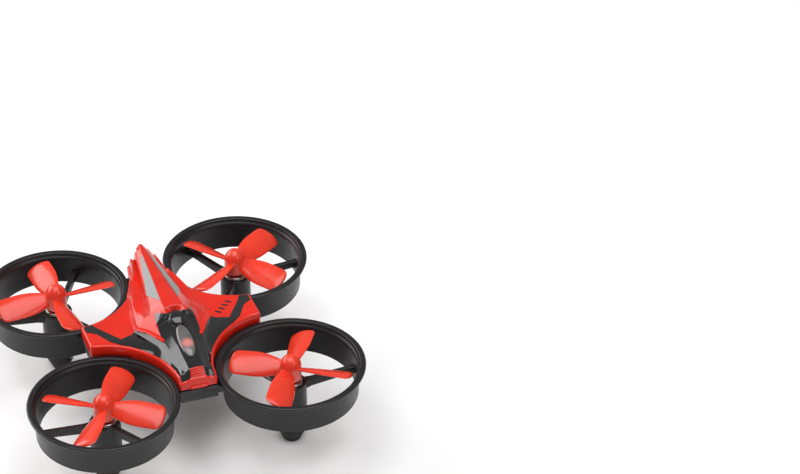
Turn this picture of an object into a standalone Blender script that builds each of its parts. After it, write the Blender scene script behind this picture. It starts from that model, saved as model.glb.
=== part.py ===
"""Mini palm drone: four ducted propellers round a moulded frame, with a two-colour shell on top.

Metres, +Z up. The nose points along -Y and the drone's own left is +X.
The origin is on the ground under the centre: the four rubber feet stand at z = 0.
"""

import math

import bmesh
import bpy
import numpy as np
from mathutils import Matrix

MM = 0.001

# Fits
CLEARANCE = 0.3 * MM        # between pieces that seat on each other
RUNNING_GAP = 0.25 * MM     # round the turning shaft

# Motors, propellers and where they stand
MOTOR_SPACING = 47.6 * MM   # between motor axes, along X and along Y
MOTOR_RADIUS = 3.0 * MM
MOTOR_LENGTH = 15.0 * MM    # end cap included
END_CAP_HEIGHT = 0.8 * MM
SHAFT_RADIUS = 0.5 * MM
SHAFT_DEPTH = 5.0 * MM      # how far the shaft reaches into the can
PROP_RADIUS = 15.5 * MM
HUB_RADIUS = 2.7 * MM
HUB_HEIGHT = 6.7 * MM
HUB_CAP = 2.0 * MM          # plastic over the end of the shaft
BLADE_CHORD = 6.8 * MM
ROOT_CHORD = 3.6 * MM
BLADE_ROOT_PITCH = math.radians(34)
BLADE_TIP_PITCH = math.radians(22)
BLADE_ROOT_THICKNESS = 0.95 * MM
BLADE_TIP_THICKNESS = 0.5 * MM
BLADE_CAMBER = 0.07         # rise of the blade's middle, as a share of its chord
BLADE_HEIGHT = 2.5 * MM     # blade middle above the hub's underside

# Rubber feet
FOOT_FLOOR = 3.2 * MM
FOOT_HEIGHT = 5.0 * MM
FOOT_WALL = 0.4 * MM
FOOT_TREAD_RADIUS = 2.2 * MM

# Ducts
TIP_GAP = 0.9 * MM          # blade tip to duct wall
DUCT_WALL = 0.9 * MM
DUCT_DRAFT = 0.5 * MM       # how much the outer wall narrows downwards
DUCT_HEIGHT = 8.4 * MM
DUCT_ABOVE_BLADES = 2.0 * MM
LIP_REACH = 1.4 * MM
LIP_HEIGHT = 0.9 * MM
POD_WALL = 0.6 * MM
POD_SETBACK = 1.0 * MM      # pod top below the motor's top
SPOKE_RISE = 0.9 * MM       # from the pod to the duct wall
SPOKE_WIDTH = 1.5 * MM
SPOKE_HEIGHT = 2.2 * MM
DUCT_STEPS = 40

# Centre frame, battery tray and battery
DECK_THICKNESS = 2.0 * MM
DECK_DROP = 1.3 * MM        # deck top below the duct rims
BRIDGE_HEIGHT = 3.3 * MM
BRIDGE_LENGTH = 3.0 * MM
BATTERY_SIZE = (11.6 * MM, 25.0 * MM, 5.9 * MM)
BATTERY_BOARD = 1.0 * MM     # thickness of the battery's own small board
TRAY_WALL = 0.8 * MM

# Circuit board
BOARD_WIDTH = 15.0 * MM
BOARD_THICKNESS = 0.8 * MM
LEAD_RADIUS = 0.35 * MM
AERIAL_RADIUS = 0.2 * MM

# Shell
SHELL_WALL = 0.9 * MM
SHELL_GAP = 0.3 * MM        # shell edge to duct lip, seen from above
SHELL_BELOW_RIM = 0.7 * MM
TIP_SETBACK = 1.8 * MM      # wing tip inboard of the motor axes
NOSE_REACH = 1.2 * MM       # nose ahead of the front motor axes
TAIL_REACH = 3.2 * MM
SPINE_REACH = 5.1 * MM      # spine tip behind the rear motor axes
TAIL_NARROWING = 1.0 * MM   # shell half width lost between the motor axes and the tail end
WING_BOSS_RISE = 2.0 * MM
BOSS_RADIUS = 1.2 * MM
SCREW_RADIUS = 0.45 * MM
SCREW_HEAD_RADIUS = 1.0 * MM
SCREW_HEAD_HEIGHT = 0.6 * MM
SCREW_BITE = 2.1 * MM       # depth of the bores in the bosses
WING_BOSS_X = 12.5 * MM
FRONT_BOSS_SETBACK = 3.8 * MM
REAR_BOSS_SETBACK = 5.8 * MM
GLASS_SETBACK = 11.3 * MM
GLASS_HALF = (1.8 * MM, 5.6 * MM, 0.9 * MM)

# Worked out from the sizes above
HALF = MOTOR_SPACING / 2
MOTOR_BASE = FOOT_FLOOR + CLEARANCE
MOTOR_TOP = MOTOR_BASE + MOTOR_LENGTH
HUB_BASE = MOTOR_TOP + CLEARANCE
BLADE_Z = HUB_BASE + BLADE_HEIGHT
RIM_Z = BLADE_Z + DUCT_ABOVE_BLADES
DUCT_BASE = RIM_Z - DUCT_HEIGHT
DUCT_INNER = PROP_RADIUS + TIP_GAP
DUCT_OUTER = DUCT_INNER + DUCT_WALL
LIP_OUTER = DUCT_OUTER + LIP_REACH
POD_INNER = MOTOR_RADIUS + CLEARANCE
POD_OUTER = POD_INNER + POD_WALL
POD_BASE = FOOT_HEIGHT + CLEARANCE
POD_TOP = MOTOR_TOP - POD_SETBACK
END_CAP_RADIUS = MOTOR_RADIUS - 0.6 * MM
SHAFT_TOP = HUB_BASE + HUB_HEIGHT - HUB_CAP
DECK_TOP = RIM_Z - DECK_DROP
DECK_BASE = DECK_TOP - DECK_THICKNESS
SEAT_Z = DECK_TOP + CLEARANCE
BRIDGE_BASE = SEAT_Z - BRIDGE_HEIGHT
BATTERY_TOP = BRIDGE_BASE - CLEARANCE
TRAY_INNER = BATTERY_TOP - BATTERY_SIZE[2] - CLEARANCE
TRAY_BASE = TRAY_INNER - TRAY_WALL
SHELL_ARC = LIP_OUTER + SHELL_GAP
SHELL_BASE = RIM_Z - SHELL_BELOW_RIM
WING_TIP_X = HALF - TIP_SETBACK
NOSE_Y = -(HALF + NOSE_REACH)
TAIL_Y = HALF + TAIL_REACH
SPINE_Y = HALF + SPINE_REACH
TAPER_START = HALF - 4.0 * MM
FRONT_BOSS_Y = NOSE_Y + FRONT_BOSS_SETBACK
REAR_BOSS_Y = TAIL_Y - REAR_BOSS_SETBACK
GLASS_Y = NOSE_Y + GLASS_SETBACK
LEAD_Z = DUCT_BASE - CLEARANCE - LEAD_RADIUS

# Corner: side of X, side of Y, turning sense seen from above, blade angle at rest
CORNERS = {
    "front_left": (1, -1, -1, 61.0),
    "front_right": (-1, -1, 1, 54.4),
    "rear_left": (1, 1, 1, 34.6),
    "rear_right": (-1, 1, -1, 6.3),
}
SPOKE_ANGLES = (0, 120, 240)

BLACK = ("frame_black", (0.02, 0.02, 0.022), 0.42, 0.0)
RUBBER = ("foot_rubber", (0.012, 0.012, 0.012), 0.8, 0.0)
RED_SHELL = ("shell_red", (0.75, 0.03, 0.015), 0.25, 0.0)
RED_CLEAR = ("propeller_red", (0.8, 0.03, 0.02), 0.2, 0.0)
SMOKED = ("smoked_glass", (0.08, 0.08, 0.09), 0.1, 0.0)
STEEL = ("steel", (0.6, 0.6, 0.58), 0.3, 1.0)
CAP_WHITE = ("end_cap_nylon", (0.8, 0.8, 0.76), 0.5, 0.0)
LEAD_PVC = ("lead_pvc", (0.7, 0.66, 0.6), 0.5, 0.0)
BOARD_GREEN = ("board_green", (0.01, 0.12, 0.05), 0.4, 0.0)
CHIP_BLACK = ("chip_black", (0.015, 0.015, 0.015), 0.5, 0.0)
FOIL = ("battery_foil", (0.55, 0.56, 0.58), 0.35, 0.8)
LENS_RED = ("led_red", (0.9, 0.05, 0.03), 0.15, 0.0)


def clear_scene():
    for obj in list(bpy.data.objects):
        bpy.data.objects.remove(obj, do_unlink=True)


def new_collection(name):
    collection = bpy.data.collections.new(name)
    bpy.context.scene.collection.children.link(collection)
    return collection


def finish_material(finish):
    name, colour, roughness, metallic = finish
    material = bpy.data.materials.get(name)
    if material is None:
        material = bpy.data.materials.new(name)
        material.use_nodes = True
        shader = material.node_tree.nodes["Principled BSDF"]
        shader.inputs["Base Color"].default_value = (*colour, 1.0)
        shader.inputs["Roughness"].default_value = roughness
        shader.inputs["Metallic"].default_value = metallic
        material.diffuse_color = (*colour, 1.0)
    return material


def add_object(name, data, finish, parent=None, location=(0, 0, 0), turn=0.0):
    obj = bpy.data.objects.new(name, data)
    PARTS.objects.link(obj)
    obj.parent = parent
    obj.location = location
    obj.rotation_euler[2] = turn
    data.materials.clear()
    data.materials.append(finish_material(finish))
    return obj


def as_cutter(obj):
    """Moves a helper shape to the cutters, which are neither rendered nor built."""
    PARTS.objects.unlink(obj)
    CUTTERS.objects.link(obj)
    obj.hide_render = True
    obj.display_type = "WIRE"
    return obj


def boolean(obj, other, operation):
    modifier = obj.modifiers.new(f"{operation.lower()}_{other.name}", "BOOLEAN")
    modifier.operation = operation
    modifier.solver = "EXACT"
    modifier.object = other


def mesh_from(name, bm, smooth_angle=35):
    bmesh.ops.recalc_face_normals(bm, faces=bm.faces)
    mesh = bpy.data.meshes.new(name)
    bm.to_mesh(mesh)
    bm.free()
    mesh.shade_smooth()
    mesh.set_sharp_from_angle(angle=math.radians(smooth_angle))
    return mesh


def box_mesh(name, size, centre=(0, 0, 0)):
    bm = bmesh.new()
    bmesh.ops.create_cube(bm, size=1.0, matrix=Matrix.Translation(centre) @ Matrix.Diagonal((*size, 1)))
    return mesh_from(name, bm)


def cylinder_mesh(name, radius, z_low, z_high, segments=24):
    bm = bmesh.new()
    bmesh.ops.create_cone(
        bm, cap_ends=True, segments=segments, radius1=radius, radius2=radius,
        depth=z_high - z_low, matrix=Matrix.Translation((0, 0, (z_low + z_high) / 2)),
    )
    return mesh_from(name, bm)


def turned(name, profile, steps, finish, parent=None, location=(0, 0, 0)):
    """A profile of (radius, z) points turned round Z. It closes on itself unless it ends on the axis."""
    on_axis = profile[0][0] == 0
    count = len(profile)
    edges = [(i, i + 1) for i in range(count - 1)]
    if not on_axis:
        edges.append((count - 1, 0))
    mesh = bpy.data.meshes.new(name)
    mesh.from_pydata([(r, 0, z) for r, z in profile], edges, [])
    obj = add_object(name, mesh, finish, parent, location)
    screw = obj.modifiers.new("turn", "SCREW")
    screw.steps = screw.render_steps = steps
    screw.use_merge_vertices = True
    screw.merge_threshold = 0.00001
    screw.use_smooth_shade = True
    screw.use_normal_calculate = False
    return obj


def wire(name, points, radius, finish):
    """A round wire along straight or curved runs, with filled ends."""
    curve = bpy.data.curves.new(name, "CURVE")
    curve.dimensions = "3D"
    curve.bevel_depth = radius
    curve.bevel_resolution = 2
    curve.use_fill_caps = True
    spline = curve.splines.new("POLY")
    spline.points.add(len(points) - 1)
    for point, place in zip(spline.points, points):
        point.co = (*place, 1.0)
    return add_object(name, curve, finish)


def loft(bm, rings, closed=True, caps=True):
    """Skins rings of points with quads. An open ring leaves the gap between its last and first point."""
    rows = [[bm.verts.new(point) for point in ring] for ring in rings]
    count = len(rows[0])
    for row, following in zip(rows, rows[1:]):
        for i in range(count if closed else count - 1):
            j = (i + 1) % count
            bm.faces.new((row[i], row[j], following[j], following[i]))
    if caps:
        bm.faces.new(list(reversed(rows[0])))
        bm.faces.new(rows[-1])


# --- motors, shafts, feet and propellers --------------------------------------


def motor_can(corner, parent):
    top, base = MOTOR_TOP, MOTOR_BASE + END_CAP_HEIGHT + CLEARANCE
    bore = SHAFT_RADIUS + RUNNING_GAP
    chamfer = 0.3 * MM
    profile = [
        (bore, top),
        (MOTOR_RADIUS - chamfer, top),
        (MOTOR_RADIUS, top - chamfer),
        (MOTOR_RADIUS, base),
        (0, base),
    ]
    floor = top - SHAFT_DEPTH - CLEARANCE
    profile = [(0, floor), (bore, floor)] + profile
    return turned(f"motor_can_{corner}", profile, 20, STEEL, parent)


def motor_end_cap(corner, parent):
    low, high = MOTOR_BASE, MOTOR_BASE + END_CAP_HEIGHT
    profile = [(0, high), (END_CAP_RADIUS, high), (END_CAP_RADIUS, low), (0, low)]
    return turned(f"motor_end_cap_{corner}", profile, 20, CAP_WHITE, parent)


def motor_shaft(corner, parent):
    low = MOTOR_TOP - SHAFT_DEPTH
    profile = [(0, SHAFT_TOP), (SHAFT_RADIUS, SHAFT_TOP), (SHAFT_RADIUS, low), (0, low)]
    return turned(f"motor_shaft_{corner}", profile, 12, STEEL, parent)


def foot_cap(corner, parent, lead_angle):
    inner = POD_INNER
    outer = inner + FOOT_WALL
    profile = [
        (0, FOOT_FLOOR),
        (inner, FOOT_FLOOR),
        (inner, FOOT_HEIGHT),
        (outer, FOOT_HEIGHT),
        (outer, FOOT_FLOOR + 0.2 * MM),
        (outer - 0.5 * MM, FOOT_FLOOR - 0.8 * MM),
        (FOOT_TREAD_RADIUS + 0.1 * MM, 0.3 * MM),
        (FOOT_TREAD_RADIUS, 0),
        (0, 0),
    ]
    foot = turned(f"foot_cap_{corner}", profile, 20, RUBBER, parent)
    width = 2 * (LEAD_RADIUS + CLEARANCE)
    low, high = FOOT_FLOOR, FOOT_HEIGHT + CLEARANCE
    notch_mesh = box_mesh("lead_notch", (2.0 * MM, width, high - low), (outer, 0, (low + high) / 2))
    notch = as_cutter(add_object(f"lead_notch_{corner}", notch_mesh, RUBBER, parent, turn=lead_angle))
    boolean(foot, notch, "DIFFERENCE")
    return foot


def blade_ring(radius, spin):
    """One closed blade section: a thin cambered plate across the radius, twisted less towards the tip."""
    reach = (radius - HUB_RADIUS) / (PROP_RADIUS - HUB_RADIUS)
    reach = min(max(reach, 0.0), 1.0)
    swell = 1.0 - (1.0 - min(reach / 0.6, 1.0)) ** 2
    tip = math.sqrt(1.0 - (max(reach - 0.82, 0.0) / 0.20) ** 2)
    chord = (ROOT_CHORD + (BLADE_CHORD - ROOT_CHORD) * swell) * tip
    pitch = BLADE_ROOT_PITCH + (BLADE_TIP_PITCH - BLADE_ROOT_PITCH) * reach
    thickness = BLADE_ROOT_THICKNESS + (BLADE_TIP_THICKNESS - BLADE_ROOT_THICKNESS) * reach
    across = [-0.5, -0.28, 0.0, 0.28, 0.5]
    top, bottom = [], []
    for u in across:
        camber = BLADE_CAMBER * chord * (1 - 4 * u * u)
        half = thickness / 2 * (1 - 3.0 * u * u)
        y = u * chord * math.cos(pitch) - camber * math.sin(pitch)
        z = u * chord * math.sin(pitch) + camber * math.cos(pitch)
        top.append((radius, spin * y, z + half))
        bottom.append((radius, spin * y, z - half))
    return top + bottom[::-1]


def propeller(corner, parent, spin, angle):
    hub_top = HUB_BASE + HUB_HEIGHT
    bore = SHAFT_RADIUS + RUNNING_GAP
    bore_top = SHAFT_TOP + CLEARANCE
    profile = [
        (0, hub_top),
        (HUB_RADIUS * 0.45, hub_top - 0.15 * MM),
        (HUB_RADIUS * 0.8, hub_top - 0.8 * MM),
        (HUB_RADIUS * 0.95, hub_top - 1.9 * MM),
        (HUB_RADIUS, hub_top - 3.2 * MM),
        (HUB_RADIUS, HUB_BASE),
        (bore, HUB_BASE),
        (bore, bore_top),
        (0, bore_top),
    ]
    hub = turned(f"propeller_{corner}", profile, 16, RED_CLEAR, parent)
    radii = [HUB_RADIUS * 0.72, HUB_RADIUS * 1.3]
    radii += [PROP_RADIUS * f for f in (0.42, 0.62, 0.80, 0.90, 0.97, 1.0)]
    bm = bmesh.new()
    loft(bm, [blade_ring(radius, spin) for radius in radii])
    blade_mesh = mesh_from("blade", bm)
    for quarter in range(4):
        turn = math.radians(angle) + quarter * math.pi / 2
        name = f"blade_{corner}_{quarter + 1}"
        blade = as_cutter(add_object(name, blade_mesh, RED_CLEAR, parent, (0, 0, BLADE_Z), turn))
        boolean(hub, blade, "UNION")
    return hub


# --- ducts --------------------------------------------------------------------


def spoke_mesh():
    """A rib from the motor pod to the duct wall, deeper at the pod."""
    near, far = POD_OUTER - POD_WALL / 2, DUCT_INNER + DUCT_WALL / 3
    rings = []
    for x, rise, grow in ((near, 0.0, 1.1), (far, SPOKE_RISE, 0.8)):
        top = POD_TOP + rise
        low = top - SPOKE_HEIGHT * grow
        half = SPOKE_WIDTH / 2
        rings.append([(x, -half, low), (x, half, low), (x, half, top), (x, -half, top)])
    bm = bmesh.new()
    loft(bm, rings)
    return mesh_from("spoke", bm)


def duct(corner, parent, lead_angle):
    """Duct ring with its lip, three spokes and the motor pod, as one moulding."""
    base_outer = DUCT_OUTER - DUCT_DRAFT
    lip_root = RIM_Z - LIP_HEIGHT
    profile = [
        (DUCT_INNER + 0.3 * MM, RIM_Z),
        (LIP_OUTER - 0.2 * MM, RIM_Z),
        (LIP_OUTER, RIM_Z - 0.3 * MM),
        (LIP_OUTER - 0.2 * MM, lip_root),
        (DUCT_OUTER, lip_root - 0.3 * MM),
        (base_outer, DUCT_BASE),
        (base_outer - DUCT_WALL, DUCT_BASE),
        (DUCT_INNER - 0.1 * MM, (DUCT_BASE + RIM_Z) / 2),
    ]
    ring = turned(f"duct_{corner}", profile, DUCT_STEPS, BLACK, parent)
    pod_profile = [(POD_INNER, POD_TOP), (POD_OUTER, POD_TOP), (POD_OUTER, POD_BASE), (POD_INNER, POD_BASE)]
    pod = as_cutter(turned(f"pod_{corner}", pod_profile, 20, BLACK, parent))
    mesh = spoke_mesh()
    for number, degrees in enumerate(SPOKE_ANGLES, 1):
        name = f"spoke_{corner}_{number}"
        spoke = as_cutter(add_object(name, mesh, BLACK, parent, turn=math.radians(degrees)))
        boolean(pod, spoke, "UNION")
    boolean(ring, pod, "UNION")
    return ring


# --- outline shared by the deck and the shell ---------------------------------


def outline_x(y, arc, reach_x):
    """Half width at y of the four-pointed outline between circles of radius arc round the motor axes."""
    across = HALF - abs(y)
    if abs(across) >= arc:
        return reach_x
    return min(reach_x, HALF - math.sqrt(arc * arc - across * across))


def outline_y(x, arc):
    """Where the outline's half width is x, which is the motor axes' y if the waist is wider than x."""
    across = HALF - x
    if across >= arc:
        return HALF
    return HALF - math.sqrt(arc * arc - across * across)


def arc_stations(arc, reach_x, end_y, steps):
    """Values of y down one quarter of the outline, closest together where the edge turns fastest."""
    first = math.asin((HALF - reach_x) / arc)
    last = math.acos((HALF - end_y) / arc)
    return [HALF - arc * math.cos(first + (last - first) * i / steps) for i in range(steps + 1)]


def deck_arc():
    return DUCT_OUTER + CLEARANCE


def centre_deck():
    """Flat deck between the ducts, with a bridge bar at the nose and at the tail."""
    arc = deck_arc()
    quarter = arc_stations(arc, WING_TIP_X, -NOSE_Y - 0.5 * MM, 9)
    right = [(outline_x(y, arc, WING_TIP_X), y) for y in [-y for y in reversed(quarter)] + quarter]
    points = right + [(-x, y) for x, y in reversed(right)]
    bm = bmesh.new()
    loft(bm, [[(x, y, z) for x, y in points] for z in (DECK_BASE, DECK_TOP)])
    deck = add_object("centre_deck", mesh_from("centre_deck", bm), BLACK)
    width = 2 * (HALF - SHELL_ARC - CLEARANCE)
    for end, y_out in (("nose", NOSE_Y - 0.5 * MM), ("tail", -NOSE_Y + 0.5 * MM)):
        y_mid = y_out - math.copysign(BRIDGE_LENGTH / 2, y_out)
        size = (width, BRIDGE_LENGTH, BRIDGE_HEIGHT)
        mesh = box_mesh(f"bridge_{end}", size, (0, y_mid, SEAT_Z - BRIDGE_HEIGHT / 2))
        bar = as_cutter(add_object(f"bridge_{end}", mesh, BLACK))
        boolean(deck, bar, "UNION")
    for name, (x, y) in boss_places().items():
        hole_mesh = cylinder_mesh("screw_hole", SCREW_RADIUS + CLEARANCE, DECK_BASE - MM, SEAT_Z + MM, 16)
        hole = as_cutter(add_object(f"screw_hole_{name}", hole_mesh, BLACK, location=(x, y, 0)))
        boolean(deck, hole, "DIFFERENCE")
    for corner, place in lead_holes().items():
        radius = 2 * LEAD_RADIUS + CLEARANCE
        hole_mesh = cylinder_mesh("lead_hole", radius, DECK_BASE - MM, SEAT_Z + MM, 16)
        hole = as_cutter(add_object(f"lead_hole_{corner}", hole_mesh, BLACK, location=(*place, 0)))
        boolean(deck, hole, "DIFFERENCE")
    return deck


def boss_places():
    return {
        "left": (WING_BOSS_X, 0),
        "right": (-WING_BOSS_X, 0),
        "front": (0, FRONT_BOSS_Y),
        "rear": (0, REAR_BOSS_Y),
    }


def lead_direction(side_x, side_y):
    """Unit vector from a motor along the spoke that points to the middle of the drone."""
    return (-side_x * math.cos(math.radians(60)), -side_y * math.sin(math.radians(60)))


def lead_holes():
    reach = deck_arc() + 2 * LEAD_RADIUS + 2.2 * MM
    places = {}
    for corner, (side_x, side_y, _, _) in CORNERS.items():
        dx, dy = lead_direction(side_x, side_y)
        places[corner] = (side_x * HALF + dx * reach, side_y * HALF + dy * reach)
    return places


# --- battery and tray ---------------------------------------------------------


def battery_tray():
    """Open-topped, open-ended tray under the deck."""
    width, length, _ = BATTERY_SIZE
    inner_x = width / 2 + CLEARANCE
    front = -(length / 2 + CLEARANCE)
    rear = length / 2
    wall_top = DECK_BASE - CLEARANCE
    outer = box_mesh(
        "battery_tray",
        (2 * (inner_x + TRAY_WALL), rear - front + TRAY_WALL, wall_top - TRAY_BASE),
        (0, (rear + front - TRAY_WALL) / 2, (wall_top + TRAY_BASE) / 2),
    )
    tray = add_object("battery_tray", outer, BLACK)
    hollow_mesh = box_mesh(
        "tray_hollow",
        (2 * inner_x, rear - front + TRAY_WALL, wall_top - TRAY_INNER + MM),
        (0, (rear + front + TRAY_WALL) / 2, (wall_top + TRAY_INNER + MM) / 2),
    )
    boolean(tray, as_cutter(add_object("tray_hollow", hollow_mesh, BLACK)), "DIFFERENCE")
    slot_mesh = box_mesh(
        "tray_slot", (width * 0.5, length * 0.55, 4 * TRAY_WALL), (0, 0, TRAY_BASE),
    )
    boolean(tray, as_cutter(add_object("tray_slot", slot_mesh, BLACK)), "DIFFERENCE")
    return tray


def battery(parent):
    width, length, height = BATTERY_SIZE
    middle = BATTERY_TOP - height / 2
    cell_length = length - BATTERY_BOARD - CLEARANCE
    cell_size = (width, cell_length, height)
    cell_mesh = box_mesh("battery_cell", cell_size, (0, (length - cell_length) / 2, middle))
    cell = add_object("battery_cell", cell_mesh, FOIL, parent)
    rounding = cell.modifiers.new("round_edges", "BEVEL")
    rounding.width = 1.0 * MM
    rounding.segments = 3
    board_size = (width - 1.5 * MM, BATTERY_BOARD, height - 1.5 * MM)
    board_mesh = box_mesh("battery_board", board_size, (0, (BATTERY_BOARD - length) / 2, middle))
    add_object("battery_board", board_mesh, BOARD_GREEN, parent)


# --- electronics --------------------------------------------------------------


def board_half_length():
    """As long as fits between the shell's side walls and between its nose and tail screw bosses."""
    in_walls = outline_y(BOARD_WIDTH / 2 + SHELL_WALL + 2 * CLEARANCE, SHELL_ARC)
    between_bosses = min(-FRONT_BOSS_Y, REAR_BOSS_Y) - BOSS_RADIUS - CLEARANCE
    return min(in_walls, between_bosses)


def electronics():
    """Flight board on the deck with its chips, battery socket, two lamps and a wire aerial."""
    board_size = (BOARD_WIDTH, 2 * board_half_length(), BOARD_THICKNESS)
    board_mesh = box_mesh("circuit_board", board_size, (0, 0, SEAT_Z + BOARD_THICKNESS / 2))
    add_object("circuit_board", board_mesh, BOARD_GREEN)
    seat = SEAT_Z + BOARD_THICKNESS + CLEARANCE / 2
    pieces = {
        "control_chip": ((4.0, 4.0, 0.9), (0.0, 1.0), CHIP_BLACK),
        "radio_chip": ((3.0, 3.0, 0.8), (-3.6, 6.4), CHIP_BLACK),
        "radio_crystal": ((2.0, 1.6, 0.8), (0.6, 6.4), STEEL),
        "battery_socket": ((3.4, 3.0, 2.2), (3.8, 7.6), CAP_WHITE),
        "lamp_front": ((1.6, 1.2, 0.8), (0.0, -9.0), LENS_RED),
        "lamp_rear": ((1.6, 1.2, 0.8), (0.0, 9.6), LENS_RED),
    }
    for name, (size, (x, y), finish) in pieces.items():
        size = [value * MM for value in size]
        centre = (x * MM, y * MM, seat + size[2] / 2)
        add_object(name, box_mesh(name, size, centre), finish)
    aerial_z = seat + 2 * AERIAL_RADIUS
    aerial = [(-5.6, 7.0), (-6.3, 6.0), (-6.5, 2.0), (-6.5, -3.0), (-6.2, -6.0), (-5.4, -8.0)]
    wire("aerial_wire", [(x * MM, y * MM, aerial_z) for x, y in aerial], AERIAL_RADIUS, CHIP_BLACK)


def motor_lead(corner):
    """The motor's pair of wires: out of the foot cap, up the pod, along a spoke and through the deck."""
    side_x, side_y, _, _ = CORNERS[corner]
    dx, dy = lead_direction(side_x, side_y)
    hole_x, hole_y = lead_holes()[corner]
    reach = math.hypot(hole_x - side_x * HALF, hole_y - side_y * HALF)
    start = END_CAP_RADIUS + CLEARANCE
    exit_z = MOTOR_BASE + END_CAP_HEIGHT / 2
    beside = POD_OUTER + CLEARANCE + LEAD_RADIUS
    route = [
        (start, exit_z),
        (beside - 0.2 * MM, exit_z),
        (beside, exit_z + 0.6 * MM),
        (beside, LEAD_Z - 1.4 * MM),
        (beside + 0.4 * MM, LEAD_Z - 0.4 * MM),
        (beside + 1.4 * MM, LEAD_Z),
        (reach - 1.4 * MM, LEAD_Z),
        (reach - 0.4 * MM, LEAD_Z + 0.4 * MM),
        (reach, LEAD_Z + 1.4 * MM),
        (reach, DECK_TOP + CLEARANCE + LEAD_RADIUS - 0.2 * MM),
    ]
    points = [(side_x * HALF + dx * r, side_y * HALF + dy * r, z) for r, z in route]
    board_edge = BOARD_WIDTH / 2 + CLEARANCE + LEAD_RADIUS
    lead_z = DECK_TOP + CLEARANCE + LEAD_RADIUS + 0.1 * MM
    points.append((hole_x - side_x * 0.7 * MM, hole_y, lead_z))
    points.append((side_x * board_edge, hole_y - side_y * 0.6 * MM, lead_z))
    wire(f"motor_lead_{corner}", points, LEAD_RADIUS, LEAD_PVC)


# --- shell --------------------------------------------------------------------


def shell_lines():
    """Feature lines of the shell, nose to tail. Each point is (y, x, height over the duct rims), in mm."""
    tip, tail, nose = SPINE_Y / MM, TAIL_Y / MM, NOSE_Y / MM
    spine = [
        (nose, 0, 1.2), (nose + 0.3, 0, 1.8), (nose + 1.8, 0, 4.1), (nose + 5, 0, 4.5), (nose + 11, 0, 5.6),
        (nose + 16.7, 0, 6.6), (nose + 19.2, 0, 7.6), (nose + 21.3, 0, 7.2), (nose + 21.9, 0, 9.1),
        (tip, 0, 6.3),
    ]
    hood_edge = [
        (nose, 1.9, 1.1), (nose + 0.3, 1.9, 1.7), (nose + 1.8, 1.9, 4.0), (nose + 5, 1.9, 4.3),
        (nose + 11, 2.1, 5.1), (nose + 16.7, 2.2, 6.2), (nose + 19.3, 2.4, 6.7), (nose + 19.9, 2.7, 8.8),
        (tip, 0.4, 6.2),
    ]
    hood_foot = [
        (nose, 2.8, 1.0), (nose + 1.8, 2.8, 3.2), (nose + 5, 3.2, 3.4), (nose + 11, 4.1, 3.9),
        (nose + 14.4, 4.8, 4.3), (nose + 19.9, 5.3, 5.6), (nose + 24, 5.6, 6.2), (tail, 1.9, 5.4),
        (tip, 1.2, 5.5),
    ]
    trough = [
        (nose, 3.0, 0.9), (nose + 1.8, 3.0, 3.1), (nose + 5, 3.4, 3.3), (nose + 11, 4.3, 3.8),
        (nose + 14.4, 5.0, 4.2), (nose + 19.9, 5.7, 5.2), (nose + 24, 6.0, 5.7), (tail - 21, 4.9, 4.0),
        (tail, 2.2, 3.0), (tail + 0.2, 1.25, 5.3), (tip, 1.25, 5.3),
    ]
    fin = [
        (nose, 3.1, 0.9), (nose + 1.8, 3.1, 3.1), (nose + 5, 3.5, 3.2), (nose + 11, 4.4, 3.7),
        (nose + 14.4, 5.1, 4.1), (nose + 22.7, 9.3, 3.1), (tail - 20.9, 8.3, 4.0), (tail, 3.4, 3.2),
        (tail + 0.2, 1.3, 5.2), (tip, 1.3, 5.2),
    ]
    root = [
        (nose, 4.0, 0.9), (nose + 1.8, 4.0, 2.8), (nose + 5, 4.0, 2.9), (nose + 11, 5.4, 3.0),
        (nose + 14.4, 6.2, 3.0), (nose + 22.7, 9.9, 2.3), (tail - 20.9, 8.9, 2.0), (tail, 3.9, 1.2),
        (tail + 0.2, 1.35, 5.1), (tip, 1.35, 5.1),
    ]
    return spine, hood_edge, hood_foot, trough, fin, root


def read_line(line, y):
    """Place of a feature line at y, in metres."""
    ys = [point[0] for point in line]
    x = np.interp(y / MM, ys, [point[1] for point in line])
    z = np.interp(y / MM, ys, [point[2] for point in line])
    return float(x) * MM, float(z) * MM


def shell_stations():
    tail_part = arc_stations(SHELL_ARC, WING_TIP_X, TAIL_Y, 10)
    nose_part = [-y for y in arc_stations(SHELL_ARC, WING_TIP_X, -NOSE_Y, 10)]
    extra = [NOSE_Y + v * MM for v in (0.3, 1.8, 11.0, 16.7, 19.2, 19.35, 19.9, 21.3, 21.9, 24.0, 27.5)]
    extra += [TAIL_Y + 0.2 * MM, SPINE_Y]
    places = sorted(set(round(y, 6) for y in tail_part + nose_part + extra))
    kept = places[:1]
    for y in places[1:]:
        if y - kept[-1] > 0.12 * MM:
            kept.append(y)
    return kept


def shell_edge_x(y):
    """Half width of the shell: the duct outline, drawn in towards the tail."""
    along = (y - TAPER_START) / (TAIL_Y - TAPER_START)
    edge = outline_x(y, SHELL_ARC, WING_TIP_X)
    if along > 0:
        edge = min(edge, HALF - SHELL_ARC - TAIL_NARROWING * along)
    return edge


def shell_section(y):
    """Half section at y, from the spine out to the edge and down. Past the tail it is the spine's tip."""
    beyond = y > TAIL_Y + 0.1 * MM
    edge = 1.4 * MM if beyond else shell_edge_x(y)
    margin = 0.25 * MM
    points = []
    for index, line in enumerate(shell_lines()):
        x, z = read_line(line, y)
        limit = edge - margin * (6 - index)
        points.append((max(min(x, limit), points[-1][0] + 0.05 * MM if points else 0.0), z))
    edge_rise = float(np.interp(y / MM, [-20, -4, 4, 20], [2.6, 2.6, 1.9, 1.5])) * MM
    if y < NOSE_Y + 1.8 * MM:
        edge_rise = min(edge_rise, points[-1][1])
    if beyond:
        edge_rise = 5.0 * MM
    bottom = 4.8 * MM if beyond else SHELL_BASE - RIM_Z
    points.append((edge, edge_rise))
    points.append((edge, bottom))
    return [(x, z + RIM_Z) for x, z in points]


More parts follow.
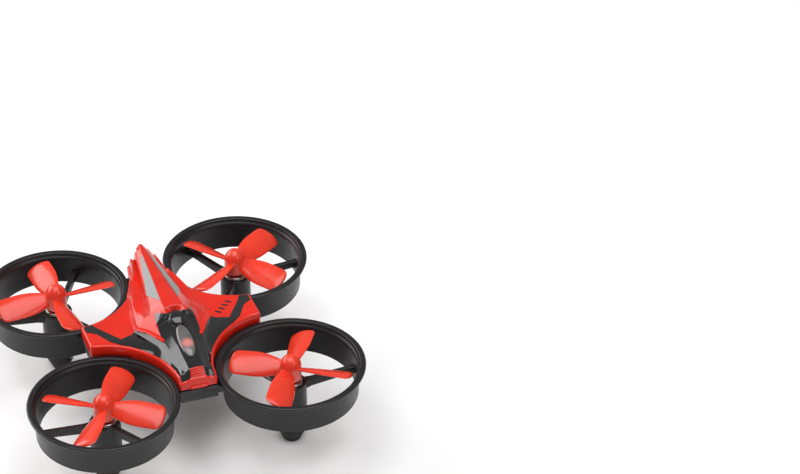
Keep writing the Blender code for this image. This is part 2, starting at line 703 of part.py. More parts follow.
def half_solid(name, sections, floor):
    """Closes half sections down to a floor height and mirrors them across the middle."""
    rings = []
    for (y, section), low in zip(sections, floor):
        rings.append([(x, y, z) for x, z in section] + [(0, y, low)])
    bm = bmesh.new()
    loft(bm, rings, closed=False)
    mesh = mesh_from(name, bm, 30)
    obj = add_object(name, mesh, RED_SHELL)
    mirror = obj.modifiers.new("other_half", "MIRROR")
    mirror.merge_threshold = 0.00001
    return obj


def shell_cavity(stations):
    """The hollow inside the shell: each roof point stays a wall below the lowest of its neighbours."""
    inside = [y for y in stations if NOSE_Y + 1.7 * MM < y < TAIL_Y - SHELL_WALL]
    outer = {y: shell_section(y) for y in stations}
    below = SHELL_BASE - 2 * MM
    sections = []
    for y in inside:
        i = stations.index(y)
        near = [outer[stations[k]] for k in (i - 1, i, i + 1)]
        section = []
        for j, (x, _) in enumerate(outer[y][:-2]):
            around = [points[k][1] for points in near for k in (max(j - 1, 0), j, j + 1)]
            section.append((x, min(around) - SHELL_WALL))
        edge_x = shell_edge_x(y) - SHELL_WALL
        edge_x = min(edge_x, outline_x(y, SHELL_ARC + SHELL_WALL, WING_TIP_X - SHELL_WALL))
        limit = [edge_x - 0.1 * MM * (len(section) - k) for k in range(len(section))]
        section = [(min(x, top), z) for (x, z), top in zip(section, limit)]
        roof = outer[y][-2][1] - SHELL_WALL * 1.2
        section.append((edge_x, min(roof, section[-1][1])))
        section.append((edge_x, below))
        section[0] = (0, section[0][1])
        sections.append((y, section))
    return as_cutter(half_solid("shell_hollow", sections, [below] * len(sections)))


def oval_cutter(name, half_x, half_y, centre_y):
    bm = bmesh.new()
    size = Matrix.Diagonal((half_x, half_y, 12 * MM, 1))
    bmesh.ops.create_cone(
        bm, cap_ends=True, segments=28, radius1=1, radius2=1, depth=1,
        matrix=Matrix.Translation((0, centre_y, RIM_Z + 6 * MM)) @ size,
    )
    return as_cutter(add_object(name, mesh_from(name, bm), RED_SHELL))


def canopy_shell():
    stations = shell_stations()
    sections = [(y, shell_section(y)) for y in stations]
    shell = half_solid("canopy_shell", sections, [section[-1][1] for _, section in sections])
    boolean(shell, shell_cavity(stations), "DIFFERENCE")
    half_x, half_y, _ = GLASS_HALF
    opening = oval_cutter("glass_opening", half_x + CLEARANCE, half_y + CLEARANCE, GLASS_Y)
    boolean(shell, opening, "DIFFERENCE")
    for name, (x, y) in boss_places().items():
        roof = read_line(shell_lines()[0], y)[1]
        height = min(roof, WING_BOSS_RISE) if x else roof
        top = RIM_Z + height - SHELL_WALL / 2
        bore_top = SEAT_Z + SCREW_BITE
        bore = SCREW_RADIUS + CLEARANCE
        profile = [
            (0, top), (BOSS_RADIUS, top), (BOSS_RADIUS, SEAT_Z),
            (bore, SEAT_Z), (bore, bore_top), (0, bore_top),
        ]
        boss = as_cutter(turned(f"boss_{name}", profile, 16, RED_SHELL, location=(x, y, 0)))
        boolean(shell, boss, "UNION")
    return shell


def cockpit_glass():
    """Flattened oval lens that follows the fall of the nose."""
    half_x, half_y, half_z = GLASS_HALF
    front = read_line(shell_lines()[0], GLASS_Y - half_y)[1]
    rear = read_line(shell_lines()[0], GLASS_Y + half_y)[1]
    tilt = math.atan2(rear - front, 2 * half_y)
    middle = Matrix.Translation((0, GLASS_Y, RIM_Z + (front + rear) / 2 - 0.1 * MM))
    place = middle @ Matrix.Rotation(tilt, 4, "X")
    bm = bmesh.new()
    bmesh.ops.create_uvsphere(
        bm, u_segments=20, v_segments=10, radius=1,
        matrix=place @ Matrix.Diagonal((half_x, half_y, half_z, 1)),
    )
    return add_object("cockpit_glass", mesh_from("cockpit_glass", bm), SMOKED)


def canopy_screws():
    head_top = DECK_BASE - CLEARANCE
    head_low = head_top - SCREW_HEAD_HEIGHT
    shank_top = SEAT_Z + SCREW_BITE - CLEARANCE
    profile = [
        (0, shank_top), (SCREW_RADIUS, shank_top), (SCREW_RADIUS, head_top),
        (SCREW_HEAD_RADIUS, head_top), (SCREW_HEAD_RADIUS, head_low), (0, head_low),
    ]
    for name, (x, y) in boss_places().items():
        turned(f"canopy_screw_{name}", profile, 12, STEEL, location=(x, y, 0))


# --- assembly -----------------------------------------------------------------


def corner_set(corner):
    side_x, side_y, spin, angle = CORNERS[corner]
    place = bpy.data.objects.new(f"corner_{corner}", None)
    PARTS.objects.link(place)
    place.location = (side_x * HALF, side_y * HALF, 0)
    turn = 0 if side_x > 0 else math.pi
    place.rotation_euler[2] = turn
    axis = bpy.data.objects.new(f"motor_axis_{corner}", None)
    PARTS.objects.link(axis)
    axis.location = place.location
    dx, dy = lead_direction(side_x, side_y)
    lead_angle = math.atan2(dy, dx) - turn
    duct(corner, place, lead_angle)
    foot_cap(corner, place, lead_angle)
    motor_can(corner, place)
    motor_end_cap(corner, place)
    motor_shaft(corner, axis)
    propeller(corner, axis, spin, angle)
    motor_lead(corner)


def main():
    for corner in CORNERS:
        corner_set(corner)
    centre_deck()
    battery_tray()
    slide = bpy.data.objects.new("battery_slide", None)
    PARTS.objects.link(slide)
    battery(slide)
    electronics()
    canopy_shell()
    cockpit_glass()
    canopy_screws()


clear_scene()
PARTS = new_collection("mini_palm_drone")
CUTTERS = new_collection("cutters")
main()
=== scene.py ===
"""Mini palm drone: four ducted propellers on a moulded frame, under a red shell with glossy black film.

The looks are built round the drone's CAD frame. Metres, +Z up, nose along -Y, the drone's own left at +X.
"""

import math

import bmesh
import bpy
import numpy as np
from bpy.props import FloatProperty, FloatVectorProperty, IntProperty, PointerProperty
from mathutils import Matrix, Vector


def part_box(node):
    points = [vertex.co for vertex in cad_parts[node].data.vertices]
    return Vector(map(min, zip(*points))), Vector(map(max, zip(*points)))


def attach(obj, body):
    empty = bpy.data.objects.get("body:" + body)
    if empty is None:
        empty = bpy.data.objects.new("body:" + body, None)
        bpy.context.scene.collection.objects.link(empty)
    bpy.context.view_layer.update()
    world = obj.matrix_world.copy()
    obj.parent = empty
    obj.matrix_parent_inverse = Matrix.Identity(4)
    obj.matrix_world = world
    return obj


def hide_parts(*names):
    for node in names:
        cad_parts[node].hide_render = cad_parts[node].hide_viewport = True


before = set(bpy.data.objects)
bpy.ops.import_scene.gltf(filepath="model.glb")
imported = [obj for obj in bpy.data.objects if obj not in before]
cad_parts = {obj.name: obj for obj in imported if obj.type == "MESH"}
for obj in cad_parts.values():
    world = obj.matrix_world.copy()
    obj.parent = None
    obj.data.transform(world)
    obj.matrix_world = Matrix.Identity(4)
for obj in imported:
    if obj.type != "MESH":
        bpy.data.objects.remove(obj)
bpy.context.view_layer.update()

bl_info = {
    "name": "Mini Palm Drone",
    "version": (1, 0, 0),
    "blender": (4, 5, 0),
    "location": "3D View > Sidebar > Drone",
    "description": "Builds a ducted palm drone piece by piece",
    "category": "Object",
}

MM = 0.001
CORNERS = ("front_left", "front_right", "rear_left", "rear_right")
SPOKE_ANGLES = (0, 120, 240)
SCREWS = ("left", "right", "front", "rear")


def box_middle(node):
    low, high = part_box(node)
    return (low + high) / 2


# Places and sizes that the frame fixes
AXES = {corner: box_middle(f"motor_can_{corner}") for corner in CORNERS}
HALF = abs(AXES["front_left"].x)
DUCT_LOW, DUCT_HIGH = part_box("duct_front_left")
RIM_Z = DUCT_HIGH.z
LIP_RADIUS = (DUCT_HIGH.x - DUCT_LOW.x) / 2
CAN_LOW, CAN_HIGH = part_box("motor_can_front_left")
CAN_RADIUS = (CAN_HIGH.x - CAN_LOW.x) / 2
FOOT_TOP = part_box("foot_cap_front_left")[1].z
HUB_BASE, HUB_TOP = (corner.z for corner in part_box("propeller_front_left"))
DECK_LOW, DECK_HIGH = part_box("centre_deck")
TRAY_LOW, TRAY_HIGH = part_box("battery_tray")
CELL_LOW, CELL_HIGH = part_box("battery_cell")
SHELL_LOW, SHELL_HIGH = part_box("canopy_shell")
GLASS_LOW, GLASS_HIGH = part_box("cockpit_glass")
LENS_MIDDLE = (GLASS_LOW + GLASS_HIGH) / 2
LENS_HALF_X, LENS_HALF_Y = (GLASS_HIGH.x - GLASS_LOW.x) / 2, (GLASS_HIGH.y - GLASS_LOW.y) / 2
NOSE_Y, SPINE_Y, WING_TIP_X = SHELL_LOW.y, SHELL_HIGH.y, SHELL_HIGH.x

# Sizes that more than one piece uses
SPINE_OVERHANG = 1.9 * MM
TAIL_Y = SPINE_Y - SPINE_OVERHANG
LEAD_REACH = 20.5 * MM  # from a motor's axis to where its wires pass through the deck
SHELL_GAP_MM = 0.3  # between the shell and the lips of the ducts
BLADE_ANGLES = {"front_left": 61.0, "front_right": 54.4, "rear_left": 34.6, "rear_right": 6.3}


# --- settings -----------------------------------------------------------------


def length(name, description, default_mm):
    return FloatProperty(name=name, description=description, default=default_mm * MM, min=0.0,
                         unit="LENGTH")


def colour(name, description, default):
    return FloatVectorProperty(name=name, description=description, default=default, size=3,
                               min=0.0, max=1.0, subtype="COLOR")


class DroneFrameSettings(bpy.types.PropertyGroup):
    duct_height: length("Duct height", "Height of each duct ring, lip included", 8.4)
    duct_wall: length("Duct wall", "Thickness of the duct wall", 0.9)
    lip_reach: length("Lip reach", "How far the lip stands out past the duct wall", 1.4)
    spoke_width: length("Spoke width", "Width of the ribs that hold the motor pods", 1.5)
    pod_wall: length("Pod wall", "Thickness of the motor pods", 0.6)
    steps: IntProperty(name="Steps", description="Straight runs round each duct", default=144,
                       min=48, max=256)
    plastic: colour("Frame colour", "Colour of the moulded frame", (0.0095, 0.009, 0.0105))
    rubber: colour("Foot colour", "Colour of the rubber feet", (0.011, 0.011, 0.011))


class DroneShellSettings(bpy.types.PropertyGroup):
    wall: length("Wall", "Thickness of the shell", 0.8)
    edge_round: length("Edge rounding", "Radius round the outer edge of the shell", 0.6)
    crease_round: length("Crease rounding", "How softly the faces of the shell meet", 0.16)
    film_lift: length("Film lift", "How far the film stands off the shell", 0.06)
    red: colour("Shell colour", "Colour of the shell", (0.73, 0.018, 0.005))
    film: colour("Film colour", "Colour of the glossy film", (0.0045, 0.0045, 0.0055))


class DronePropellerSettings(bpy.types.PropertyGroup):
    chord: length("Blade chord", "Greatest width of a blade", 6.8)
    root_chord: length("Root chord", "Width of a blade at the hub", 3.8)
    root_pitch: FloatProperty(name="Root pitch", description="Blade angle at the hub",
                              default=math.radians(34), subtype="ANGLE")
    tip_pitch: FloatProperty(name="Tip pitch", description="Blade angle at the tip",
                             default=math.radians(22), subtype="ANGLE")
    red: colour("Propeller colour", "Colour of the clear red plastic", (0.84, 0.042, 0.014))


class DroneDetailSettings(bpy.types.PropertyGroup):
    wire_radius: length("Wire radius", "Radius of one motor wire", 0.17)
    steel: colour("Steel colour", "Colour of the motor cans", (0.62, 0.61, 0.59))
    light_wire: colour("Light wire", "Colour of one wire of each pair", (0.75, 0.71, 0.64))
    dark_wire: colour("Dark wire", "Colour of the other wire of each pair", (0.09, 0.035, 0.02))
    foil: colour("Foil colour", "Colour of the battery pouch", (0.58, 0.59, 0.61))


class DroneStageSettings(bpy.types.PropertyGroup):
    lens: FloatProperty(name="Lens", description="Focal length in millimetres", default=134.05, min=20.0)
    soft_light: FloatProperty(name="Soft light", description="Strength of the surrounding light",
                              default=0.3)
    key_light: FloatProperty(name="Key light", description="Power of the panel overhead", default=7.5)
    floor: colour("Floor colour", "Colour of the floor", (0.93, 0.93, 0.93))


# --- materials ----------------------------------------------------------------


def add_node(tree, kind, inputs=None, **options):
    node = tree.nodes.new(kind)
    for name, value in options.items():
        setattr(node, name, value)
    for name, value in (inputs or {}).items():
        socket = node.inputs[name]
        if isinstance(value, bpy.types.NodeSocket):
            tree.links.new(value, socket)
        else:
            socket.default_value = value
    return node


def speckle(tree, scale, low, high, detail=3.0, stretch=(1, 1, 1)):
    """A soft noise over the piece, from low to high. Scale is in marks per metre."""
    coordinates = add_node(tree, "ShaderNodeTexCoord").outputs["Object"]
    mapping = add_node(tree, "ShaderNodeMapping", {"Vector": coordinates, "Scale": stretch})
    noise = add_node(tree, "ShaderNodeTexNoise", {"Vector": mapping.outputs["Vector"], "Scale": scale,
                                                  "Detail": detail, "Roughness": 0.55})
    return spread(tree, noise.outputs[0], (0.3, 0.7), (low, high))


def spread(tree, value, source, target, **options):
    """The value, moved from the source range to the target range."""
    inputs = {"Value": value, "From Min": source[0], "From Max": source[1], "To Min": target[0],
              "To Max": target[1]}
    return add_node(tree, "ShaderNodeMapRange", inputs, **options).outputs["Result"]


def grain_bump(tree, shader, height, strength, depth):
    bump = add_node(tree, "ShaderNodeBump", {"Height": height, "Strength": strength, "Distance": depth})
    tree.links.new(bump.outputs["Normal"], shader.inputs["Normal"])


def darker(base, share):
    return tuple(v * share for v in base)


def blend_colours(tree, factor, first, second):
    mix = add_node(tree, "ShaderNodeMix", data_type="RGBA")
    tree.links.new(factor, mix.inputs[0])
    for socket, value in ((mix.inputs[6], first), (mix.inputs[7], second)):
        if isinstance(value, bpy.types.NodeSocket):
            tree.links.new(value, socket)
        else:
            socket.default_value = (*value, 1.0)
    return mix.outputs[2]


def edge_wear_and_highlight(tree, scale, amount):
    """High on outer edges, broken up by a noise: partly wear, partly a painted highlight along the edges."""
    pointed = add_node(tree, "ShaderNodeNewGeometry").outputs["Pointiness"]
    edge = spread(tree, pointed, (0.51, 0.58), (0.0, amount))
    patchy = speckle(tree, scale, 0.2, 1.0)
    return add_node(tree, "ShaderNodeMath", {0: edge, 1: patchy}, operation="MULTIPLY").outputs[0]


def new_material(name, fixed):
    material = bpy.data.materials.new(name)
    material.use_nodes = True
    shader = material.node_tree.nodes["Principled BSDF"]
    for socket, value in fixed.items():
        shader.inputs[socket].default_value = value
    return material, material.node_tree, shader


def moulded(name, base, shade, edge_wear_highlight_colour, roughness, grain, depth, edge_wear_highlight_amount=0.5, stretch=(1, 1, 1), **fixed):
    """A moulded or coated finish: mottled colour, paler outer edges (wear and a painted edge highlight),
    uneven gloss and a fine grain.
    """
    fixed = {key.replace("_", " "): value for key, value in fixed.items()}
    material, tree, shader = new_material(name, fixed)
    mottled = blend_colours(tree, speckle(tree, 170, 0.0, 1.0), base, shade)
    # paler outer edges: real wear together with a painted highlight where the edges catch the light
    coloured = blend_colours(tree, edge_wear_and_highlight(tree, 600, edge_wear_highlight_amount), mottled, edge_wear_highlight_colour)
    tree.links.new(coloured, shader.inputs["Base Color"])
    tree.links.new(speckle(tree, 420, *roughness), shader.inputs["Roughness"])
    grain_bump(tree, shader, speckle(tree, grain, 0.0, 1.0, stretch=stretch), 0.5, depth)
    return material


def frame_plastic():
    base = tuple(bpy.context.scene.drone_frame.plastic)
    # the pale edge colour here is mostly a painted highlight along the frame's edges
    return moulded("satin_frame_plastic", base, darker(base, 0.7), (0.06, 0.06, 0.065), (0.30, 0.42), 5200,
                   0.00001, edge_wear_highlight_amount=0.7, Specular_IOR_Level=0.4)


def foot_rubber():
    base = tuple(bpy.context.scene.drone_frame.rubber)
    return moulded("foot_rubber", base, (0.02, 0.019, 0.018), (0.05, 0.05, 0.048), (0.62, 0.8), 3800,
                   0.00003)


def shell_plastic():
    base = tuple(bpy.context.scene.drone_shell.red)
    return moulded("gloss_red_plastic", base, darker(base, 0.86), (0.8, 0.06, 0.04), (0.12, 0.2), 900,
                   0.000004, edge_wear_highlight_amount=0.3, IOR=1.5)


def gloss_film():
    base = tuple(bpy.context.scene.drone_shell.film)
    return moulded("gloss_black_film", base, (0.0075, 0.007, 0.008), (0.02, 0.02, 0.02), (0.08, 0.15),
                   700, 0.000006, edge_wear_highlight_amount=0.3, Coat_Weight=0.6, Coat_Roughness=0.05, IOR=1.55)


def clear_red():
    """Clear red plastic, with painted light: paler on the steep and the lower faces, where light comes
    through.
    """
    base = tuple(bpy.context.scene.drone_propeller.red)
    fixed = {"IOR": 1.47, "Coat Weight": 0.3, "Coat Roughness": 0.1, "Subsurface Weight": 0.5,
             "Subsurface Radius": (1.0, 0.2, 0.12), "Subsurface Scale": 0.0012}
    material, tree, shader = new_material("clear_red_plastic", fixed)
    mottled = blend_colours(tree, speckle(tree, 90, 0.0, 1.0, detail=1.0), base, darker(base, 0.88))
    facing = add_node(tree, "ShaderNodeNewGeometry").outputs["Normal"]
    height = add_node(tree, "ShaderNodeSeparateXYZ", {"Vector": facing}).outputs["Z"]
    # painted light: faces that point sideways and down are painted paler, for light coming through the blades
    paler = spread(tree, height, (0.35, -0.1), (0.0, 0.5))
    coloured = blend_colours(tree, paler, mottled, (0.95, 0.2, 0.14))
    tree.links.new(coloured, shader.inputs["Base Color"])
    tree.links.new(speckle(tree, 200, 0.2, 0.32, detail=1.0), shader.inputs["Roughness"])
    grain_bump(tree, shader, speckle(tree, 500, 0.0, 1.0, detail=1.0), 0.3, 0.000006)
    return material


def steel(name="turned_steel", stretch=(0.05, 0.05, 1), roughness=(0.2, 0.36)):
    base = tuple(bpy.context.scene.drone_detail.steel)
    return moulded(name, base, darker(base, 0.8), (0.8, 0.79, 0.77), roughness, 9000, 0.000004,
                   stretch=stretch, Metallic=1.0)


def smoked_lens(glow_place):
    """Smoked clear plastic with the front lamp glowing through it, painted on the lens as an emitted glow."""
    fixed = {"Coat Weight": 0.8, "Coat Roughness": 0.04, "IOR": 1.5, "Emission Strength": 1.1}
    material, tree, shader = new_material("smoked_lens", fixed)
    smoke = blend_colours(tree, speckle(tree, 300, 0.0, 1.0), (0.05, 0.047, 0.047), (0.085, 0.08, 0.08))
    tree.links.new(smoke, shader.inputs["Base Color"])
    tree.links.new(speckle(tree, 420, 0.1, 0.2), shader.inputs["Roughness"])
    coordinates = add_node(tree, "ShaderNodeTexCoord").outputs["Object"]
    # painted glow: emission on the lens itself, fading out from the lamp's place
    distance = add_node(tree, "ShaderNodeVectorMath", {0: coordinates, 1: glow_place}, operation="DISTANCE")
    fade = spread(tree, distance.outputs["Value"], (0.5 * MM, 2.1 * MM), (1.0, 0.0),
                  interpolation_type="SMOOTHSTEP")
    glow = blend_colours(tree, fade, (0.05, 0.045, 0.045), (0.62, 0.17, 0.14))
    tree.links.new(glow, shader.inputs["Emission Color"])
    return material


def small_finishes(*wanted):
    """Finishes of the small and inner pieces, by name."""
    detail = bpy.context.scene.drone_detail
    foil, light, dark = tuple(detail.foil), tuple(detail.light_wire), tuple(detail.dark_wire)
    recipes = {
        "nylon": ("end_cap_nylon", (0.78, 0.76, 0.7), (0.66, 0.63, 0.56), (0.85, 0.84, 0.8), (0.42, 0.6),
                  3000, 0.00001),
        "light_wire": ("light_wire_cover", light, darker(light, 0.85), (0.85, 0.82, 0.76), (0.35, 0.5),
                       4200, 0.00001),
        "dark_wire": ("dark_wire_cover", dark, darker(dark, 0.7), (0.16, 0.07, 0.05), (0.35, 0.5),
                      4200, 0.00001),
        "board": ("solder_mask", (0.012, 0.13, 0.05), (0.009, 0.10, 0.04), (0.2, 0.16, 0.06), (0.25, 0.4),
                  2400, 0.00001),
        "chip": ("chip_epoxy", (0.018, 0.018, 0.019), (0.026, 0.026, 0.026), (0.06, 0.06, 0.06),
                 (0.4, 0.55), 6000, 0.00001),
        "foil": ("pouch_foil", foil, darker(foil, 0.88), (0.8, 0.8, 0.81), (0.25, 0.4), 800, 0.00006),
        "tape": ("amber_tape", (0.62, 0.27, 0.04), (0.5, 0.2, 0.03), (0.75, 0.42, 0.12), (0.15, 0.3),
                 700, 0.00004),
        "lamp": ("lamp_resin", (0.85, 0.1, 0.07), (0.7, 0.06, 0.05), (0.95, 0.35, 0.3), (0.1, 0.2),
                 900, 0.00001),
    }
    extra = {"foil": {"Metallic": 0.9}, "tape": {"Coat_Weight": 0.4}, "lamp": {"Transmission_Weight": 0.3}}
    return {name: moulded(*recipes[name], **extra.get(name, {})) for name in wanted}


# --- mesh tools ---------------------------------------------------------------


def rounded(points, radius, steps=4, closed=True):
    """The outline with its corners drawn round. Points have two or three coordinates."""
    result = []
    last = len(points) - 1
    for i, here in enumerate(points):
        corner = Vector(here)
        if not closed and i in (0, last):
            result.append(corner)
            continue
        to_before = Vector(points[i - 1]) - corner
        to_after = Vector(points[(i + 1) % len(points)]) - corner
        reach = min(radius, to_before.length * 0.47, to_after.length * 0.47)
        start = corner + to_before.normalized() * reach
        end = corner + to_after.normalized() * reach
        for k in range(steps + 1):
            t = k / steps
            result.append(start * (1 - t) ** 2 + corner * (2 * t * (1 - t)) + end * t * t)
    return result


def face_between(bm, corners):
    """Adds a face, leaving out corners that fall together."""
    kept = []
    for vert in corners:
        if vert not in kept:
            kept.append(vert)
    if len(kept) > 2:
        bm.faces.new(kept)


def bridge(bm, first, second, closed=True):
    count = len(first)
    for i in range(count if closed else count - 1):
        j = (i + 1) % count
        face_between(bm, (first[i], first[j], second[j], second[i]))


def turn_profile(bm, profile, steps, centre=(0, 0), closed=True):
    """Turns (radius, z) points round a vertical axis. A closed outline goes round to its first point."""
    rings = []
    turns = [2 * math.pi * i / steps for i in range(steps)]
    for radius, z in profile:
        if radius == 0:
            rings.append([bm.verts.new((centre[0], centre[1], z))] * steps)
            continue
        rings.append([bm.verts.new((centre[0] + radius * math.cos(a), centre[1] + radius * math.sin(a), z))
                      for a in turns])
    for first, second in zip(rings, rings[1:]):
        bridge(bm, first, second)
    if closed:
        bridge(bm, rings[-1], rings[0])


def skin_rings(bm, rings):
    """Skins closed rings of points, in order, and closes both ends."""
    rows = [[bm.verts.new(point) for point in ring] for ring in rings]
    for first, second in zip(rows, rows[1:]):
        bridge(bm, first, second)
    bm.faces.new(rows[0])
    bm.faces.new(rows[-1])


def block(bm, low, high, rounding, steps=3):
    """A block with rounded upright corners and rounded top and bottom edges."""
    corners = [(low[0], low[1]), (high[0], low[1]), (high[0], high[1]), (low[0], high[1])]
    middle = Vector(((low[0] + high[0]) / 2, (low[1] + high[1]) / 2))
    outline = rounded(corners, rounding * 1.6, steps)
    half = Vector(((high[0] - low[0]) / 2, (high[1] - low[1]) / 2))
    levels = [math.pi / 2 * k / steps for k in range(steps + 1)]
    curve = [(rounding * (1 - math.sin(a)), rounding * (1 - math.cos(a))) for a in levels]
    heights = [(low[2] + rise, inset) for rise, inset in reversed(curve)]
    heights += [(high[2] - drop, inset) for drop, inset in curve]
    rings = []
    for z, inset in heights:
        shrink_x, shrink_y = (half.x - inset) / half.x, (half.y - inset) / half.y
        rings.append([((p - middle).x * shrink_x + middle.x, (p - middle).y * shrink_y + middle.y, z)
                      for p in outline])
    skin_rings(bm, rings)


def plain_mesh(bm, name):
    mesh = bpy.data.meshes.new(name)
    bm.to_mesh(mesh)
    bm.free()
    return mesh


def finish_mesh(bm, name, sharp):
    bmesh.ops.remove_doubles(bm, verts=bm.verts, dist=1e-7)
    bmesh.ops.recalc_face_normals(bm, faces=bm.faces)
    mesh = plain_mesh(bm, name)
    smooth(mesh, sharp)
    return mesh


def smooth(mesh, sharp):
    mesh.shade_smooth()
    mesh.set_sharp_from_angle(angle=math.radians(sharp))


def add_object(name, data):
    obj = bpy.data.objects.new(name, data)
    bpy.context.scene.collection.objects.link(obj)
    return obj


def loose_object(name, bm, sharp=35):
    return add_object(name, finish_mesh(bm, name, sharp))


def block_object(name, low, high, rounding, steps=3, place=None):
    """A rounded block as an object of its own, moved by place where one is given."""
    bm = bmesh.new()
    block(bm, low, high, rounding, steps)
    if place:
        bm.transform(place)
    return loose_object(name, bm)


def turned_object(name, profile, steps, centre, closed=True):
    bm = bmesh.new()
    turn_profile(bm, profile, steps, centre, closed)
    return loose_object(name, bm)


def combine(obj, others, operation, sharp=35):
    """Joins or cuts, keeps the result as obj's own mesh and removes the others."""
    for other in others:
        modifier = obj.modifiers.new(operation.lower(), "BOOLEAN")
        modifier.operation = operation
        modifier.solver = "EXACT"
        modifier.object = other
    bpy.context.view_layer.update()
    result = bpy.data.meshes.new_from_object(obj.evaluated_get(bpy.context.evaluated_depsgraph_get()))
    obj.modifiers.clear()
    obj.data = result
    for other in others:
        bpy.data.objects.remove(other)
    smooth(result, sharp)
    return obj


def place_piece(obj, material, body, replaces=()):
    """Gives a finished piece its material and body, and hides the parts it replaces."""
    obj.data.materials.clear()
    obj.data.materials.append(material)
    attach(obj, body)
    if replaces:
        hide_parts(*replaces)
    return obj


def wire_piece(name, points, radius):
    """A round wire through the points, with filled ends."""
    curve = bpy.data.curves.new(name, "CURVE")
    curve.dimensions = "3D"
    curve.bevel_depth = radius
    curve.bevel_resolution = 3
    curve.use_fill_caps = True
    spline = curve.splines.new("POLY")
    spline.points.add(len(points) - 1)
    for target, place in zip(spline.points, points):
        target.co = (*place, 1.0)
    return add_object(name, curve)


def sides_of(corner):
    """Which way a corner lies along X and along Y."""
    return (1 if "left" in corner else -1), (1 if "rear" in corner else -1)


def lead_direction(corner):
    """Along the spoke that points to the middle of the drone."""
    side_x, side_y = sides_of(corner)
    return Vector((-side_x * math.cos(math.radians(60)), -side_y * math.sin(math.radians(60))))


# --- ducts --------------------------------------------------------------------


def duct_profile(settings):
    """Cross-section of a duct ring, from its inner foot: drafted wall and flared, rounded lip."""
    outer = LIP_RADIUS - settings.lip_reach
    inner = outer - settings.duct_wall
    foot = RIM_Z - settings.duct_height
    corners = [
        (inner - 0.45 * MM, foot), (inner - 0.1 * MM, foot + 3.6 * MM), (inner, RIM_Z - 1.9 * MM),
        (inner + 0.12 * MM, RIM_Z - 1.15 * MM), (inner + 0.62 * MM, RIM_Z - 0.72 * MM),
        (inner + 0.78 * MM, RIM_Z - 0.1 * MM), (inner + 1.1 * MM, RIM_Z), (LIP_RADIUS - 0.3 * MM, RIM_Z),
        (LIP_RADIUS, RIM_Z - 0.25 * MM), (LIP_RADIUS - 0.05 * MM, RIM_Z - 0.75 * MM),
        (outer + 0.35 * MM, RIM_Z - 0.98 * MM), (outer, RIM_Z - 1.5 * MM),
        (outer - 0.5 * MM, foot + 0.5 * MM), (outer - 0.42 * MM, foot),
    ]
    return rounded(corners, 0.3 * MM, 3)


def spoke_rings(settings, pod_radius, wall_radius, pod_top):
    """Sections of a rib from the pod to the wall: deepest at the pod, wider where it meets each of them."""
    rings = []
    spans, flared = 8, 0.14
    for i in range(spans + 1):
        along = i / spans
        x = pod_radius + (wall_radius - pod_radius) * along
        at_wall, at_pod = (along - (1 - flared)) / flared, (flared - along) / flared
        flare = 1 + 0.5 * max(0.0, at_wall) ** 2 + 0.45 * max(0.0, at_pod) ** 2
        half = settings.spoke_width / 2 * flare
        top = pod_top + 0.9 * MM * along
        low = top - (2.42 - 0.66 * along) * MM * (1 + 0.1 * (flare - 1))
        outline = rounded([(-half, low), (half, low), (half * 0.86, top), (-half * 0.86, top)],
                          0.28 * MM, 3)
        rings.append([(x, y, z) for y, z in outline])
    return rings


def duct_moulding(corner, settings, material):
    """Ring, three spokes and the motor pod as one moulding."""
    centre = AXES[corner]
    ring = turned_object(f"duct_moulding_{corner}", duct_profile(settings), settings.steps, centre)
    pod_inner = CAN_RADIUS + 0.16 * MM
    pod_outer = pod_inner + settings.pod_wall + 0.14 * MM
    pod_top = CAN_HIGH.z - 1.0 * MM
    base = DUCT_LOW.z
    profile = rounded([
        (pod_inner, base), (pod_inner, pod_top), (pod_outer - 0.1 * MM, pod_top),
        (pod_outer, pod_top - 2.4 * MM), (pod_outer, base + 1.3 * MM),
        (pod_outer - 0.16 * MM, base + 1.1 * MM), (pod_outer - 0.16 * MM, base),
    ], 0.16 * MM, 3)
    pod = turned_object("pod", profile, 72, centre)
    spokes = []
    turned_round = 0 if centre.x > 0 else math.pi
    wall = LIP_RADIUS - settings.lip_reach - settings.duct_wall * 0.6
    for angle in SPOKE_ANGLES:
        spoke_mesh = bmesh.new()
        skin_rings(spoke_mesh, spoke_rings(settings, pod_outer - 0.3 * MM, wall, pod_top))
        turn = Matrix.Rotation(math.radians(angle) + turned_round, 4, "Z")
        spoke_mesh.transform(Matrix.Translation((centre.x, centre.y, 0)) @ turn)
        spokes.append(loose_object("spoke", spoke_mesh))
    combine(pod, spokes, "UNION")
    combine(ring, [pod], "UNION", 32)
    return place_piece(ring, material, "airframe", (f"duct_{corner}",))


# --- deck and tray ------------------------------------------------------------


def between_arcs(y, arc, widest):
    """Half width at y of the four-pointed outline left between circles round the motor axes."""
    across = HALF - abs(y)
    if across >= arc:
        return widest
    return min(widest, HALF - math.sqrt(arc * arc - across * across))


def arc_rows(arc, widest, end_y, steps):
    """Values of y down a quarter of that outline, even along its arc."""
    first = math.asin((HALF - widest) / arc)
    last = math.acos(min((HALF - end_y) / arc, 1.0))
    return [HALF - arc * math.cos(first + (last - first) * i / steps) for i in range(steps + 1)]


